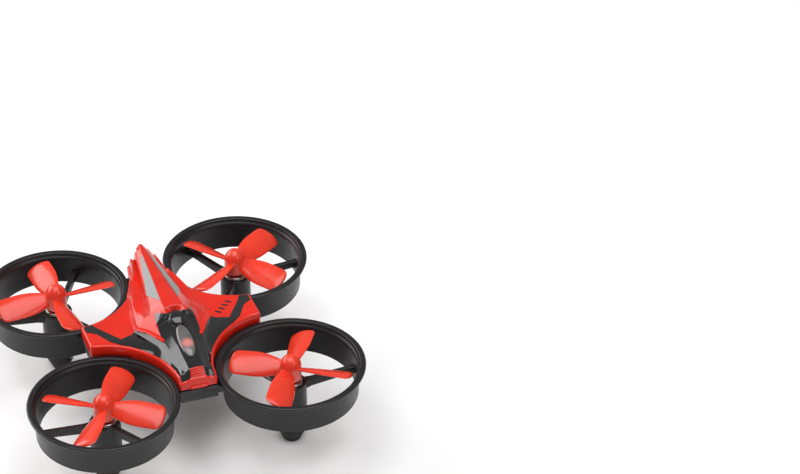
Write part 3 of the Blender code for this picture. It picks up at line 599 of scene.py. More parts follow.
def deck_moulding(settings, material):
    """Flat deck that runs into the four duct walls, with a bar across the nose and the tail."""
    arc = LIP_RADIUS - settings.lip_reach - 0.35 * MM
    top = DECK_HIGH.z - 0.3 * MM
    base = top - 2.0 * MM
    quarter = arc_rows(arc, DECK_HIGH.x, DECK_HIGH.y, 40)
    rows = [-y for y in reversed(quarter)] + quarter
    edge = [(between_arcs(y, arc, DECK_HIGH.x), y) for y in rows]
    outline = edge + [(-x, y) for x, y in reversed(edge)]
    bm = bmesh.new()
    rings = []
    for z, inset in ((base, 0.25 * MM), (base + 0.07 * MM, 0.08 * MM), (base + 0.25 * MM, 0),
                     (top - 0.25 * MM, 0), (top - 0.07 * MM, 0.08 * MM), (top, 0.25 * MM)):
        rings.append([(x - math.copysign(min(inset, abs(x)), x), y * (1 - inset / DECK_HIGH.y), z)
                      for x, y in outline])
    skin_rings(bm, rings)
    deck = loose_object("deck_moulding", bm)
    added = []
    half_bar = HALF - LIP_RADIUS - 0.35 * MM
    for side in (-1, 1):
        front, rear = sorted((side * DECK_HIGH.y, side * (DECK_HIGH.y - 3.0 * MM)))
        low, high = (-half_bar, front, DECK_LOW.z), (half_bar, rear, DECK_HIGH.z)
        added.append(block_object("bar", low, high, 0.3 * MM))
        for x in (-2.6, 0, 2.6):
            middle = side * (DECK_HIGH.y - 4.0 * MM)
            low = (x * MM - 0.3 * MM, middle - 2.0 * MM, DECK_LOW.z + 0.2 * MM)
            high = (low[0] + 0.6 * MM, middle + 2.0 * MM, top - 0.4 * MM)
            added.append(block_object("rib", low, high, 0.12 * MM))
    combine(deck, added, "UNION")
    cutters = []
    for name in SCREWS:
        place = box_middle(f"canopy_screw_{name}")
        cutters.append(hole(place, 0.75 * MM, base - MM, DECK_HIGH.z + MM))
        cutters.append(hole(place, 1.3 * MM, base - MM, base + 0.25 * MM))
    for corner in CORNERS:
        cutters.append(hole(lead_hole(corner), 1.0 * MM, base - MM, DECK_HIGH.z + MM))
    for side_x in (-1, 1):
        for side_y in (-1, 1):
            place = (side_x * 16.2 * MM, side_y * 1.9 * MM)
            cutters.append(hole(place, 1.1 * MM, base - MM, DECK_HIGH.z + MM))
    combine(deck, cutters, "DIFFERENCE")
    return place_piece(deck, material, "airframe", ("centre_deck",))


def hole(place, radius, low, high):
    profile = [(0, low), (radius, low), (radius, high), (0, high)]
    return turned_object("hole", profile, 40, place, closed=False)


def lead_hole(corner):
    """Where a motor's wires pass through the deck."""
    centre, way = AXES[corner].to_2d(), lead_direction(corner)
    return centre + way * LEAD_REACH


def tray_moulding(material):
    """Open tray that holds the battery, with ribs and windows in its sides and a finger slot under it."""
    wall, past = 0.8 * MM, 3 * MM
    tray = block_object("tray_moulding", TRAY_LOW, TRAY_HIGH, 0.35 * MM, 4)
    added = []
    for y in np.linspace(TRAY_LOW.y + 3 * MM, TRAY_HIGH.y - 3 * MM, 5):
        for side in (-1, 1):
            x = side * (TRAY_HIGH.x + 0.02 * MM)
            low = (min(x, x - side * 0.4 * MM) - 0.12 * MM, y - 0.4 * MM, TRAY_LOW.z + 0.3 * MM)
            high = (low[0] + 0.64 * MM, y + 0.4 * MM, TRAY_HIGH.z - 0.3 * MM)
            added.append(block_object("rib", low, high, 0.12 * MM))
    combine(tray, added, "UNION")
    cutters = [
        block_object("hollow", (-TRAY_HIGH.x + wall, TRAY_LOW.y + wall, TRAY_LOW.z + wall),
                     (TRAY_HIGH.x - wall, TRAY_HIGH.y + past, TRAY_HIGH.z + past), 0.3 * MM),
        block_object("slot", (-2.9 * MM, -6.9 * MM, TRAY_LOW.z - 1.6 * MM),
                     (2.9 * MM, 6.9 * MM, TRAY_LOW.z + 1.6 * MM), 0.5 * MM),
    ]
    middle = (TRAY_LOW.z + TRAY_HIGH.z) / 2
    for y in (-7.0, 0.0, 7.0):
        cutters.append(block_object("window", (-12 * MM, (y - 1.6) * MM, middle - 1.3 * MM),
                                    (12 * MM, (y + 1.6) * MM, middle + 1.3 * MM), 0.3 * MM))
    combine(tray, cutters, "DIFFERENCE")
    return place_piece(tray, material, "airframe", ("battery_tray",))


# --- shell form ---------------------------------------------------------------


def shell_lines():
    """Feature lines of the shell from nose to tail, each point (y, x, height above the rims), in mm."""
    tip, tail, nose = SPINE_Y / MM, TAIL_Y / MM, NOSE_Y / MM
    spine = [
        (nose, 0, 1.2), (nose + 0.3, 0, 1.8), (nose + 1.8, 0, 4.1), (nose + 5, 0, 4.5), (nose + 11, 0, 5.6),
        (nose + 16.7, 0, 6.6), (nose + 19.2, 0, 7.6), (nose + 21.3, 0, 7.2), (nose + 21.9, 0, 9.1),
        (tip, 0, 6.3),
    ]
    hood_edge = [
        (nose, 1.9, 1.1), (nose + 0.3, 1.9, 1.7), (nose + 1.8, 1.9, 4.0), (nose + 5, 1.9, 4.3),
        (nose + 11, 2.1, 5.1), (nose + 16.7, 2.2, 6.2), (nose + 19.3, 2.4, 6.7), (nose + 19.9, 2.65, 8.8),
        (nose + 37, 1.42, 7.55), (tip, 0.4, 6.2),
    ]
    hood_foot = [
        (nose, 2.8, 1.0), (nose + 1.8, 2.8, 3.2), (nose + 5, 3.2, 3.4), (nose + 11, 4.1, 3.9),
        (nose + 14.4, 4.8, 4.3), (nose + 19.9, 5.3, 5.6), (nose + 24, 5.6, 6.2), (tail, 1.9, 5.4),
    ]
    trough = [
        (nose, 3.0, 0.9), (nose + 1.8, 3.0, 3.1), (nose + 5, 3.4, 3.3), (nose + 11, 4.3, 3.8),
        (nose + 14.4, 5.0, 4.2), (nose + 19.9, 5.7, 5.2), (nose + 24, 6.0, 5.7), (tail - 21, 4.9, 4.0),
        (tail, 2.2, 3.0),
    ]
    fin = [
        (nose, 3.1, 0.9), (nose + 1.8, 3.1, 3.1), (nose + 5, 3.5, 3.2), (nose + 11, 4.4, 3.7),
        (nose + 14.4, 5.1, 4.1), (nose + 22.7, 9.3, 3.1), (tail - 20.9, 8.3, 4.0), (tail, 3.2, 4.1),
    ]
    root = [
        (nose, 4.0, 0.9), (nose + 1.8, 4.0, 2.8), (nose + 5, 4.0, 2.9), (nose + 11, 5.4, 3.0),
        (nose + 14.4, 6.2, 3.0), (nose + 22.7, 9.9, 2.3), (tail - 20.9, 8.9, 2.0), (tail, 3.9, 1.2),
    ]
    return spine, hood_edge, hood_foot, trough, fin, root


LINES = shell_lines()
LINE_SPREAD = 0.15
EDGE_HEIGHTS = ((-25, -17, -11.6, -7.4, -4, 4, 20), (0.7, 1.2, 1.8, 2.4, 2.6, 1.9, 1.5))


def outline_half(y, inset=0.0):
    """Half width of the shell at y, in mm, drawn in towards the tail."""
    arc = LIP_RADIUS / MM + SHELL_GAP_MM + inset
    edge = between_arcs(y * MM, arc * MM, WING_TIP_X - inset * MM) / MM
    taper_from, taper_to = HALF / MM - 4.0, TAIL_Y / MM
    along = (y - taper_from) / (taper_to - taper_from)
    if along > 0:
        edge = min(edge, HALF / MM - arc - along)
    return edge


def line_places(y):
    """Half widths and heights of the feature lines and the edge at y, in mm."""
    edge = outline_half(y)
    places, heights = [], []
    for index, line in enumerate(LINES):
        ys = [point[0] for point in line]
        x = float(np.interp(y, ys, [point[1] for point in line]))
        x = min(x, edge - 0.25 * (6 - index))
        places.append(max(x, places[-1] + 0.05) if places else 0.0)
        heights.append(float(np.interp(y, ys, [point[2] for point in line])))
    edge_height = float(np.interp(y, *EDGE_HEIGHTS))
    if y < NOSE_Y / MM + 1.8:
        edge_height = min(edge_height, heights[-1])
    places.append(max(edge, places[-1] + 0.05))
    heights.append(edge_height)
    return places, heights


def raw_heights(x, y):
    places, heights = line_places(y)
    return np.interp(np.abs(x), places, heights)


def spread_offsets(radius):
    ring = [(radius * math.cos(a), radius * math.sin(a)) for a in np.arange(8) * math.pi / 4]
    return [(0.0, 0.0)] + ring


def skin_heights(x, y):
    """Heights of the outside at one y, with the creases rounded, in mm."""
    radius = bpy.context.scene.drone_shell.crease_round / MM
    return np.mean([raw_heights(x + dx, y + dy) for dx, dy in spread_offsets(radius)], axis=0)


def inner_heights(x, y):
    """Heights of the inside, everywhere a wall below the outside."""
    wall = bpy.context.scene.drone_shell.wall / MM
    return np.min([raw_heights(x + dx, y + dy) for dx, dy in spread_offsets(wall)], axis=0) - wall


def height_at(x, y):
    """Height above the ground of the outside over one place, in metres."""
    return float(skin_heights(np.array([x / MM]), y / MM)[0]) * MM + RIM_Z


def skin_rows(inset):
    """Values of y across the shell, closer together where it drops, in mm."""
    nose, tail, closest = NOSE_Y / MM, TAIL_Y / MM, 0.06
    arc, widest = (LIP_RADIUS / MM + SHELL_GAP_MM + inset) * MM, WING_TIP_X - inset * MM
    rear = [y / MM for y in arc_rows(arc, widest, TAIL_Y - inset * MM, 56)]
    front = [-y / MM for y in arc_rows(arc, widest, -NOSE_Y - inset * MM, 56)]
    tips = list(np.linspace(front[0], rear[0], 24))
    drops = [*np.arange(nose + 20.9, nose + 22.3, 0.1), *np.arange(nose + 18.9, nose + 20.3, 0.1),
             *np.arange(nose + inset, nose + 2.3, 0.16)]
    creases = [nose + v + d for v in (5, 11, 14.4, 16.7, 22.7, 24) for d in (-LINE_SPREAD, 0, LINE_SPREAD)]
    creases += [tail - 21 + d for d in (-LINE_SPREAD, 0, LINE_SPREAD)]
    kept = []
    for y in sorted(rear + front + tips + drops + creases):
        if not kept or y - kept[-1] > closest:
            kept.append(y)
    return kept


def row_columns(y, inset):
    """Half widths at which a row has points: close on each side of every line, and spread between them."""
    places, _ = line_places(y)
    places[-1] = max(outline_half(y, inset), places[-2] + 0.02)
    columns = [0.0]
    for (first, second), between in zip(zip(places, places[1:]), (4, 5, 2, 4, 2, 12)):
        gap = second - first
        near = min(LINE_SPREAD, gap * 0.3)
        columns.append(first + near)
        columns += [first + near + (gap - 2 * near) * (i + 1) / (between + 1) for i in range(between)]
        columns += [second - near, second]
    return columns


def skin_grid(heights, inset):
    """Rows of points over the shell, from nose to tail and from right to left, in mm."""
    grid = []
    for y in skin_rows(inset):
        half = row_columns(y, inset)
        x = np.array([-v for v in reversed(half[1:])] + half)
        grid.append([(px, y, pz) for px, pz in zip(x, heights(x, y))])
    return grid


def to_frame(point):
    return Vector((point[0] * MM, point[1] * MM, point[2] * MM + RIM_Z))


def add_grid(bm, grid):
    rows = [[bm.verts.new(to_frame(point)) for point in row] for row in grid]
    for first, second in zip(rows, rows[1:]):
        bridge(bm, first, second, closed=False)
    return rows


def border(rows):
    """The grid's outer points, anticlockwise from above."""
    loop = list(rows[0]) + [row[-1] for row in rows[1:-1]]
    return loop + list(reversed(rows[-1])) + [row[0] for row in reversed(rows[1:-1])]


def border_normals(loop):
    """(index, outward direction) round the border, with a fan of directions at each corner."""
    flat = [vert.co.to_2d() for vert in loop]
    found = []
    for i, here in enumerate(flat):
        before = here - flat[i - 1]
        after = flat[(i + 1) % len(flat)] - here
        first = Vector((before.y, -before.x)).normalized()
        second = Vector((after.y, -after.x)).normalized()
        turn = first.angle_signed(second, 0.0)
        count = 6 if abs(turn) > math.radians(25) else 0
        for k in range(count + 1):
            share = k / count if count else 0.5
            found.append((i, Matrix.Rotation(-turn * share, 2) @ first))
    return found


def shell_skin(settings, material):
    """The main shell: faceted outside, edge rolled over into a skirt, and a hollow underneath."""
    inset = settings.edge_round / MM
    bm = bmesh.new()
    outside = add_grid(bm, skin_grid(skin_heights, inset))
    loop = border(outside)
    fan = border_normals(loop)
    base = RIM_Z - 0.7 * MM
    rings = [[loop[i] for i, _ in fan]]
    turns = 5
    for k in range(1, turns + 1):
        angle = math.pi / 2 * k / turns
        out, drop = settings.edge_round * math.sin(angle), settings.edge_round * (1 - math.cos(angle))
        rings.append([bm.verts.new(loop[i].co + (way * out).to_3d() - Vector((0, 0, drop)))
                      for i, way in fan])
    for share, out in ((0.5, 1.0), (0.96, 1.0), (1.0, 0.8)):
        ring = []
        for top, (i, way) in zip(rings[turns], fan):
            place = loop[i].co + (way * settings.edge_round * out).to_3d()
            place.z = top.co.z + (base - top.co.z) * share
            ring.append(bm.verts.new(place))
        rings.append(ring)
    for first, second in zip(rings, rings[1:]):
        bridge(bm, first, second)
    inside = add_grid(bm, skin_grid(inner_heights, inset))
    inner_loop = border(inside)
    skirt = [bm.verts.new((vert.co.x, vert.co.y, base)) for vert in inner_loop]
    bridge(bm, inner_loop, skirt)
    bridge(bm, rings[-1], [skirt[i] for i, _ in fan])
    shell = combine(loose_object("shell_skin", bm, 50), [lens_opening()], "DIFFERENCE", 50)
    return place_piece(shell, material, "airframe", ("canopy_shell",))


def lens_opening():
    gap = 0.12 * MM
    bm = bmesh.new()
    turn_profile(bm, [(0, 0), (1, 0), (1, 1), (0, 1)], 64, closed=False)
    size = Matrix.Diagonal((LENS_HALF_X + gap, LENS_HALF_Y + gap, 12 * MM, 1))
    bm.transform(Matrix.Translation((LENS_MIDDLE.x, LENS_MIDDLE.y, RIM_Z)) @ size)
    return loose_object("opening", bm)


# --- shell details ------------------------------------------------------------


def spine_tip(material):
    """Rear end of the spine, standing out past the tail."""
    start, end = TAIL_Y / MM - 0.8, SPINE_Y / MM
    bm = bmesh.new()
    rings = []
    for k in range(13):
        along = k / 12
        y = start + (end - start) * along
        shrink = math.sqrt(max(1 - max((along - 0.55) / 0.5, 0) ** 2, 0.04))
        ridge = float(raw_heights(np.array([0.0]), min(y, TAIL_Y / MM))[0]) - 0.07 * max(y - TAIL_Y / MM, 0)
        half, low, edge = 1.28 * shrink, 4.85, 0.42
        mid = (ridge + low) / 2
        outline = [(-half, low), (half, low), (half, ridge - 0.95), (edge * shrink, ridge),
                   (-edge * shrink, ridge), (-half, ridge - 0.95)]
        outline = [(x, mid + (z - mid) * (0.55 + 0.45 * shrink)) for x, z in outline]
        rings.append([to_frame((x, y, z)) for x, z in rounded(outline, 0.22, 3)])
    skin_rings(bm, rings)
    return place_piece(loose_object("spine_tip", bm), material, "airframe")


def intake_cowls(material):
    """Thin lips that overhang the front of each side pod."""
    for side, name in ((1, "left"), (-1, "right")):
        route = [(9.6, -0.9), (9.5, -2.1), (8.6, -3.5), (7.3, -5.4), (6.2, -7.7), (5.4, -9.5), (5.0, -10.9)]
        route = rounded(route, 0.9, 4, closed=False)
        bm = bmesh.new()
        rings = []
        for i, (x, y) in enumerate(route):
            ahead, behind = route[min(i + 1, len(route) - 1)], route[max(i - 1, 0)]
            along = (ahead - behind).normalized()
            out = Vector((-along.y, along.x))
            share = i / (len(route) - 1)
            grow = min(1.0, share / 0.2, (1 - share) / 0.16) * 0.8 + 0.2
            inner = float(raw_heights(np.array([x - out.x * 0.5]), y - out.y * 0.5)[0])
            section = [(-0.75, -0.22), (-0.75, 0.1), (0.5 * grow, 0.1), (0.72 * grow, -0.08),
                       (0.62 * grow, -0.34)]
            ring = rounded([(s, inner + h) for s, h in section], 0.12, 3)
            rings.append([to_frame((side * (x + out.x * s), y + out.y * s, h)) for s, h in ring])
        skin_rings(bm, rings)
        place_piece(loose_object(f"intake_cowl_{name}", bm), material, "airframe")


def nose_ribs(material):
    """Raised bars across the sloping nose plate, and the lip under it."""
    nose = NOSE_Y / MM
    bm = bmesh.new()
    turns = [2 * math.pi * i / 12 for i in range(12)]
    for y in (nose + 1.75, nose + 1.4, nose + 1.05, nose + 0.7, nose + 0.36):
        z = float(raw_heights(np.array([0.0]), y)[0])
        rings = []
        for k in range(9):
            x = -1.55 + 3.1 * k / 8
            swell = math.sqrt(max(1 - (abs(x) / 1.6) ** 6, 0.03))
            rings.append([
                to_frame((x, y + 0.13 * swell * math.cos(a) - 0.03, z + 0.04 + 0.19 * swell * math.sin(a)))
                for a in turns])
        skin_rings(bm, rings)
    place_piece(loose_object("nose_ribs", bm), material, "airframe")
    lip = block_object("nose_lip", (-2.3 * MM, NOSE_Y - 0.42 * MM, RIM_Z - 0.75 * MM),
                       (2.3 * MM, NOSE_Y + 0.9 * MM, RIM_Z + 0.15 * MM), 0.25 * MM, 4)
    place_piece(lip, material, "airframe")


def sensor_dome(material):
    """Low glossy dome in front of the hood."""
    y = NOSE_Y + 19.0 * MM
    top = height_at(0, y)
    bm = bmesh.new()
    crown = [(math.cos(a), math.sin(a)) for a in np.linspace(0, math.pi / 2, 13)[:-1]]
    turn_profile(bm, [(0, -1.3), (1.0, -1.3), *crown, (0, 1)], 64, closed=False)
    slope = Matrix.Rotation(math.radians(8), 4, "X")
    size = Matrix.Diagonal((2.3 * MM, 2.6 * MM, 0.95 * MM, 1))
    bm.transform(Matrix.Translation((0, y, top - 0.25 * MM)) @ slope @ size)
    return place_piece(loose_object("sensor_dome", bm), material, "airframe")


def cockpit_lens():
    """Oval lens that follows the fall of the nose, with a raised rim."""
    middle_y = LENS_MIDDLE.y
    front, rear = height_at(0, middle_y - LENS_HALF_Y), height_at(0, middle_y + LENS_HALF_Y)
    tilt = math.atan2(rear - front, 2 * LENS_HALF_Y)
    place = Matrix.Translation((0, middle_y, (front + rear) / 2)) @ Matrix.Rotation(tilt, 4, "X")
    crown = [(math.cos(a), 0.75 * math.sin(a)) for a in np.linspace(0, math.pi / 2, 12)[:-1]]
    bm = bmesh.new()
    turn_profile(bm, [(0, -1.0), (0.9, -1.0), (1.0, -0.6), *crown, (0, 0.75)], 72, closed=False)
    bm.transform(place @ Matrix.Diagonal((LENS_HALF_X, LENS_HALF_Y, 0.8 * MM, 1)))
    # centre of the painted glow on the lens
    glow = place @ Vector((0.1 * MM, -1.3 * MM, 0.3 * MM))
    return place_piece(loose_object("cockpit_lens", bm), smoked_lens(glow), "airframe",
                       ("cockpit_glass",))


# --- film ---------------------------------------------------------------------


def inside(outline, x, y):
    """Whether a place lies inside a closed outline."""
    crossed = False
    for (x1, y1), (x2, y2) in sides(outline):
        if (y1 > y) != (y2 > y) and x < (x2 - x1) * (y - y1) / (y2 - y1) + x1:
            crossed = not crossed
    return crossed


def sides(outline):
    return zip(outline, outline[1:] + outline[:1])


def film_piece(name, outlines, material):
    """Thin film over the part of the shell that the outlines enclose, in mm from above."""
    settings = bpy.context.scene.drone_shell
    under = 0.3  # share of the lift that is left clear under the film
    bm = bmesh.new()
    add_grid(bm, skin_grid(skin_heights, settings.edge_round / MM))
    bm.normal_update()
    for outline in outlines:
        for (x1, y1), (x2, y2) in sides(outline):
            across = Vector((y1 - y2, x2 - x1, 0)).normalized()
            low_x, high_x = sorted((x1, x2))
            low_y, high_y = sorted((y1, y2))
            near = [face for face in bm.faces if touches(face, low_x, high_x, low_y, high_y)]
            edges = {edge for face in near for edge in face.edges}
            verts = {vert for face in near for vert in face.verts}
            bmesh.ops.bisect_plane(bm, geom=near + list(edges) + list(verts), dist=1e-7,
                                   plane_co=(x1 * MM, y1 * MM, 0), plane_no=across)
    outside = []
    for face in bm.faces:
        centre = face.calc_center_median()
        x, y = centre.x / MM, centre.y / MM
        if in_lens(x, y) or not any(inside(outline, x, y) for outline in outlines):
            outside.append(face)
    bmesh.ops.delete(bm, geom=outside, context="FACES")
    bm.normal_update()
    for vert in bm.verts:
        vert.co += vert.normal * settings.film_lift * under
    obj = add_object(name, plain_mesh(bm, name))
    thicken = obj.modifiers.new("thickness", "SOLIDIFY")
    thicken.thickness = settings.film_lift * (1 - under)
    thicken.offset = 1.0
    combine(obj, [], "UNION", 40)
    return place_piece(obj, material, "airframe")


def touches(face, low_x, high_x, low_y, high_y):
    """Whether a face comes within reach of the box round one side of an outline."""
    xs = [vert.co.x / MM for vert in face.verts]
    ys = [vert.co.y / MM for vert in face.verts]
    margin = 0.02
    return (max(xs) > low_x - margin and min(xs) < high_x + margin
            and max(ys) > low_y - margin and min(ys) < high_y + margin)


def in_lens(x, y):
    """Whether a place lies so far under the lens that its film can be left out."""
    half_x, half_y = LENS_HALF_X / MM * 0.86, LENS_HALF_Y / MM * 0.9
    middle = LENS_MIDDLE / MM
    return ((x - middle.x) / half_x) ** 2 + ((y - middle.y) / half_y) ** 2 < 1


def mirrored(outline):
    return [(-x, y) for x, y in reversed(outline)]


def hood_film():
    """Outline of the film on one side of the hood, inside a red border."""
    outline = [(line_places(y)[0][1] + 0.02, y) for y in (24.3, 18.0, 12.0, 6.0, 0.5)]
    for y, share in ((6.5, 0.88), (10.3, 0.83), (14.3, 0.76), (17.6, 0.65), (20.6, 0.52), (22.8, 0.34)):
        edge, foot = line_places(y)[0][1:3]
        outline.append((edge + (foot - edge) * share, y))
    return outline


def front_film():
    """Outline of one side of the film over the nose and the front of the wing."""
    rim = [(outline_half(y, 0.3), y) for y in (-7.5, -9.0, -10.5, -12.0, -14.0, -16.0, -18.5, -21.0)]
    return [
        (0, -3.75), (2.5, -5.25), (2.8, -5.1), (4.45, -2.05), (4.85, -3.4), (5.0, -7.0), (5.0, -10.6),
        (5.45, -9.4), (7.3, -5.3), (9.6, -1.7), (10.9, -2.9), (14.0, -4.1), (18.1, 2.4), (19.1, 4.6),
        (19.2, 6.5), (23, 6.5), (22.6, 2.7), (19.2, 0.3), (16.8, -4.4), *rim, (4.25, -24.7),
        (1.95, -24.7), (1.6, -22.9), (0, -22.9),
    ]


def wing_bars():
    """Four equal bars beside the band on the left wing."""
    bars = []
    for k in range(4):
        x, y = 12.1 + 1.22 * k, -0.7 + 1.2 * k
        bars.append([(x + a * 0.62 + b * 0.2, y - a * 0.55 + b * 0.24)
                     for a, b in ((1, 1), (-1, 1), (-1, -1), (1, -1))])
    return bars


# --- propellers ---------------------------------------------------------------


def blade_rings(settings, spin, hub_radius, reach_radius):
    """Sections of one blade from inside the hub to its squared, rounded tip."""
    rings = []
    radii = [hub_radius * share for share in np.linspace(0.66, 1.25, 5)]
    radii += list(np.linspace(hub_radius * 1.35, reach_radius * 0.86, 14))
    radii += list(reach_radius * (1 - 0.14 * (1 - np.sin(np.linspace(0.12, math.pi / 2, 12)))))
    for radius in radii:
        reach = min(max((radius - hub_radius) / (reach_radius - hub_radius), 0.0), 1.0)
        swell = 1 - (1 - min(reach / 0.58, 1.0)) ** 2
        end = max(reach - 0.83, 0.0) / 0.17
        tip = (1 - min(end, 0.995) ** 2.6) ** (1 / 2.6)
        chord = (settings.root_chord + (settings.chord - settings.root_chord) * swell) * max(tip, 0.12)
        pitch = settings.root_pitch + (settings.tip_pitch - settings.root_pitch) * reach
        thickness = (1.0 - 0.62 * reach) * MM * (0.5 + 0.5 * max(tip, 0.0) ** 0.5)
        top, bottom = [], []
        for a in np.linspace(0, math.pi, 13):
            u = -0.5 * math.cos(a)
            camber = 0.08 * chord * (1 - 4 * u * u)
            half = 0 if a in (0, math.pi) else thickness / 2 * (0.22 + 0.78 * math.sin(a) ** 0.8)
            along = u * chord + 0.05 * chord
            y = along * math.cos(pitch) - camber * math.sin(pitch)
            z = along * math.sin(pitch) + camber * math.cos(pitch)
            top.append((radius, spin * y, z + half))
            bottom.append((radius, spin * y, z - half))
        rings.append(top + bottom[-2:0:-1])
    return rings


def propeller_moulding(corner, settings, material):
    """Four blades on a tall domed hub."""
    centre = AXES[corner]
    spin = -1 if corner in ("front_left", "rear_right") else 1
    hub_radius, reach_radius, bore, dome_height = 2.7 * MM, 15.5 * MM, 0.5 * MM, 3.2 * MM
    dome = [(hub_radius * math.cos(a), HUB_TOP - dome_height + dome_height * math.sin(a))
            for a in np.linspace(0, math.pi / 2, 14)[:-1]]
    profile = [(0, HUB_BASE + 4.6 * MM), (bore, HUB_BASE + 4.6 * MM), (bore, HUB_BASE + 0.9 * MM),
               (1.5 * MM, HUB_BASE + 0.9 * MM), (1.6 * MM, HUB_BASE), (hub_radius - 0.25 * MM, HUB_BASE),
               (hub_radius, HUB_BASE + 0.25 * MM), *dome, (0, HUB_TOP)]
    propeller = turned_object(f"propeller_moulding_{corner}", profile, 72, centre, closed=False)
    blades = []
    for quarter in range(4):
        blade = bmesh.new()
        skin_rings(blade, blade_rings(settings, spin, hub_radius, reach_radius))
        turn = Matrix.Rotation(math.radians(BLADE_ANGLES[corner]) + quarter * math.pi / 2, 4, "Z")
        blade.transform(Matrix.Translation((centre.x, centre.y, HUB_BASE + 2.5 * MM)) @ turn)
        blades.append(loose_object("blade", blade))
    combine(propeller, blades, "UNION", 40)
    return place_piece(propeller, material, f"rotor_{corner}", (f"propeller_{corner}",))


# --- motors, feet and wires ---------------------------------------------------


def motor_pieces(corner, finishes, metal, shaft_metal):
    """Can with a rolled edge and a bearing boss, nylon end cap, and the shaft."""
    centre = AXES[corner]
    low, high, bore = CAN_LOW.z, CAN_HIGH.z, 0.72 * MM
    profile = rounded([
        (bore, high - 5.2 * MM), (bore, high), (1.25 * MM, high), (1.3 * MM, high - 0.22 * MM),
        (CAN_RADIUS - 0.2 * MM, high - 0.3 * MM), (CAN_RADIUS, high - 0.7 * MM),
        (CAN_RADIUS, low + 0.7 * MM), (CAN_RADIUS - 0.14 * MM, low + 0.5 * MM),
        (CAN_RADIUS - 0.14 * MM, low), (CAN_RADIUS - 0.6 * MM, low),
        (CAN_RADIUS - 0.6 * MM, low + 0.6 * MM), (bore, low + 0.6 * MM),
    ], 0.12 * MM, 3)
    can = turned_object(f"motor_can_turned_{corner}", profile, 72, centre)
    place_piece(can, metal, "airframe", (f"motor_can_{corner}",))
    low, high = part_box(f"motor_end_cap_{corner}")
    radius = (high.x - low.x) / 2
    profile = [(0, low.z + 0.25 * MM), (0.7 * MM, low.z + 0.25 * MM), (0.75 * MM, low.z),
               (radius - 0.15 * MM, low.z), (radius, low.z + 0.15 * MM), (radius, high.z - 0.1 * MM),
               (radius - 0.15 * MM, high.z), (0, high.z)]
    cap = turned_object(f"motor_end_cap_moulded_{corner}", profile, 48, centre, closed=False)
    place_piece(cap, finishes["nylon"], "airframe", (f"motor_end_cap_{corner}",))
    low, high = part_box(f"motor_shaft_{corner}")
    radius = (high.y - low.y) / 2
    profile = [(0, low.z), (radius - 0.08 * MM, low.z), (radius, low.z + 0.08 * MM),
               (radius, high.z - 0.1 * MM), (radius - 0.1 * MM, high.z), (0, high.z)]
    shaft = turned_object(f"motor_shaft_ground_{corner}", profile, 32, centre, closed=False)
    place_piece(shaft, shaft_metal, f"rotor_{corner}", (f"motor_shaft_{corner}",))


def foot_piece(corner, material):
    """Soft foot cap with a stepped side, a dished tread and a notch for the wires."""
    centre = AXES[corner]
    inner, floor = CAN_RADIUS + 0.3 * MM, 3.2 * MM
    outer = inner + 0.4 * MM
    profile = rounded([
        (0, floor), (inner, floor), (inner, FOOT_TOP), (outer - 0.05 * MM, FOOT_TOP),
        (outer, FOOT_TOP - 0.3 * MM), (outer, 3.6 * MM), (outer - 0.16 * MM, 3.45 * MM),
        (outer - 0.16 * MM, 3.1 * MM), (outer - 0.5 * MM, 2.3 * MM), (2.35 * MM, 0.45 * MM),
        (2.15 * MM, 0), (1.3 * MM, 0), (1.15 * MM, 0.2 * MM), (0, 0.2 * MM),
    ], 0.16 * MM, 3, closed=False)
    foot = turned_object(f"foot_cap_moulded_{corner}", profile, 72, centre, closed=False)
    way = lead_direction(corner)
    turn = Matrix.Rotation(math.atan2(way.y, way.x), 4, "Z")
    place = Matrix.Translation((centre.x + way.x * outer, centre.y + way.y * outer, 0)) @ turn
    notch = block_object("notch", (-MM, -0.62 * MM, floor), (MM, 0.62 * MM, FOOT_TOP + MM), 0.15 * MM,
                         place=place)
    combine(foot, [notch], "DIFFERENCE")
    return place_piece(foot, material, "airframe", (f"foot_cap_{corner}",))


def lead_route(corner, shift):
    """Middle line of one wire of a pair: out of the foot, up the pod, along the spoke, up to the board."""
    centre, way = AXES[corner].to_2d(), lead_direction(corner)
    side_x, side_y = sides_of(corner)
    exit_z, lead_z, beside = 3.9 * MM, RIM_Z - 9.05 * MM, 4.55 * MM
    over_deck = DECK_HIGH.z + 0.35 * MM
    route = [
        (2.7 * MM, exit_z), (beside - 0.2 * MM, exit_z), (beside, exit_z + 0.6 * MM),
        (beside, lead_z - 1.2 * MM), (beside + 1.2 * MM, lead_z), (12.5 * MM, lead_z - 0.06 * MM),
        (LEAD_REACH - 1.3 * MM, lead_z), (LEAD_REACH, lead_z + 1.3 * MM),
        (LEAD_REACH, over_deck - 0.2 * MM),
    ]
    across = Vector((-way.y, way.x)) * shift
    points = [(*(centre + way * r + across), z) for r, z in route]
    hole_place = lead_hole(corner)
    points.append((hole_place.x - side_x * 0.7 * MM + across.x, hole_place.y + across.y, over_deck))
    points.append((side_x * 8.05 * MM, hole_place.y - side_y * 0.6 * MM + across.y, over_deck))
    return rounded(points, 0.8 * MM, 5, closed=False)


def motor_wires(corner, settings, finishes):
    for name, shift, replaced in (("light", 1, (f"motor_lead_{corner}",)), ("dark", -1, ())):
        route = lead_route(corner, shift * (settings.wire_radius + 0.01 * MM))
        wire = wire_piece(f"motor_wire_{name}_{corner}", route, settings.wire_radius)
        place_piece(wire, finishes[f"{name}_wire"], "airframe", replaced)


# --- battery, screws and electronics ------------------------------------------


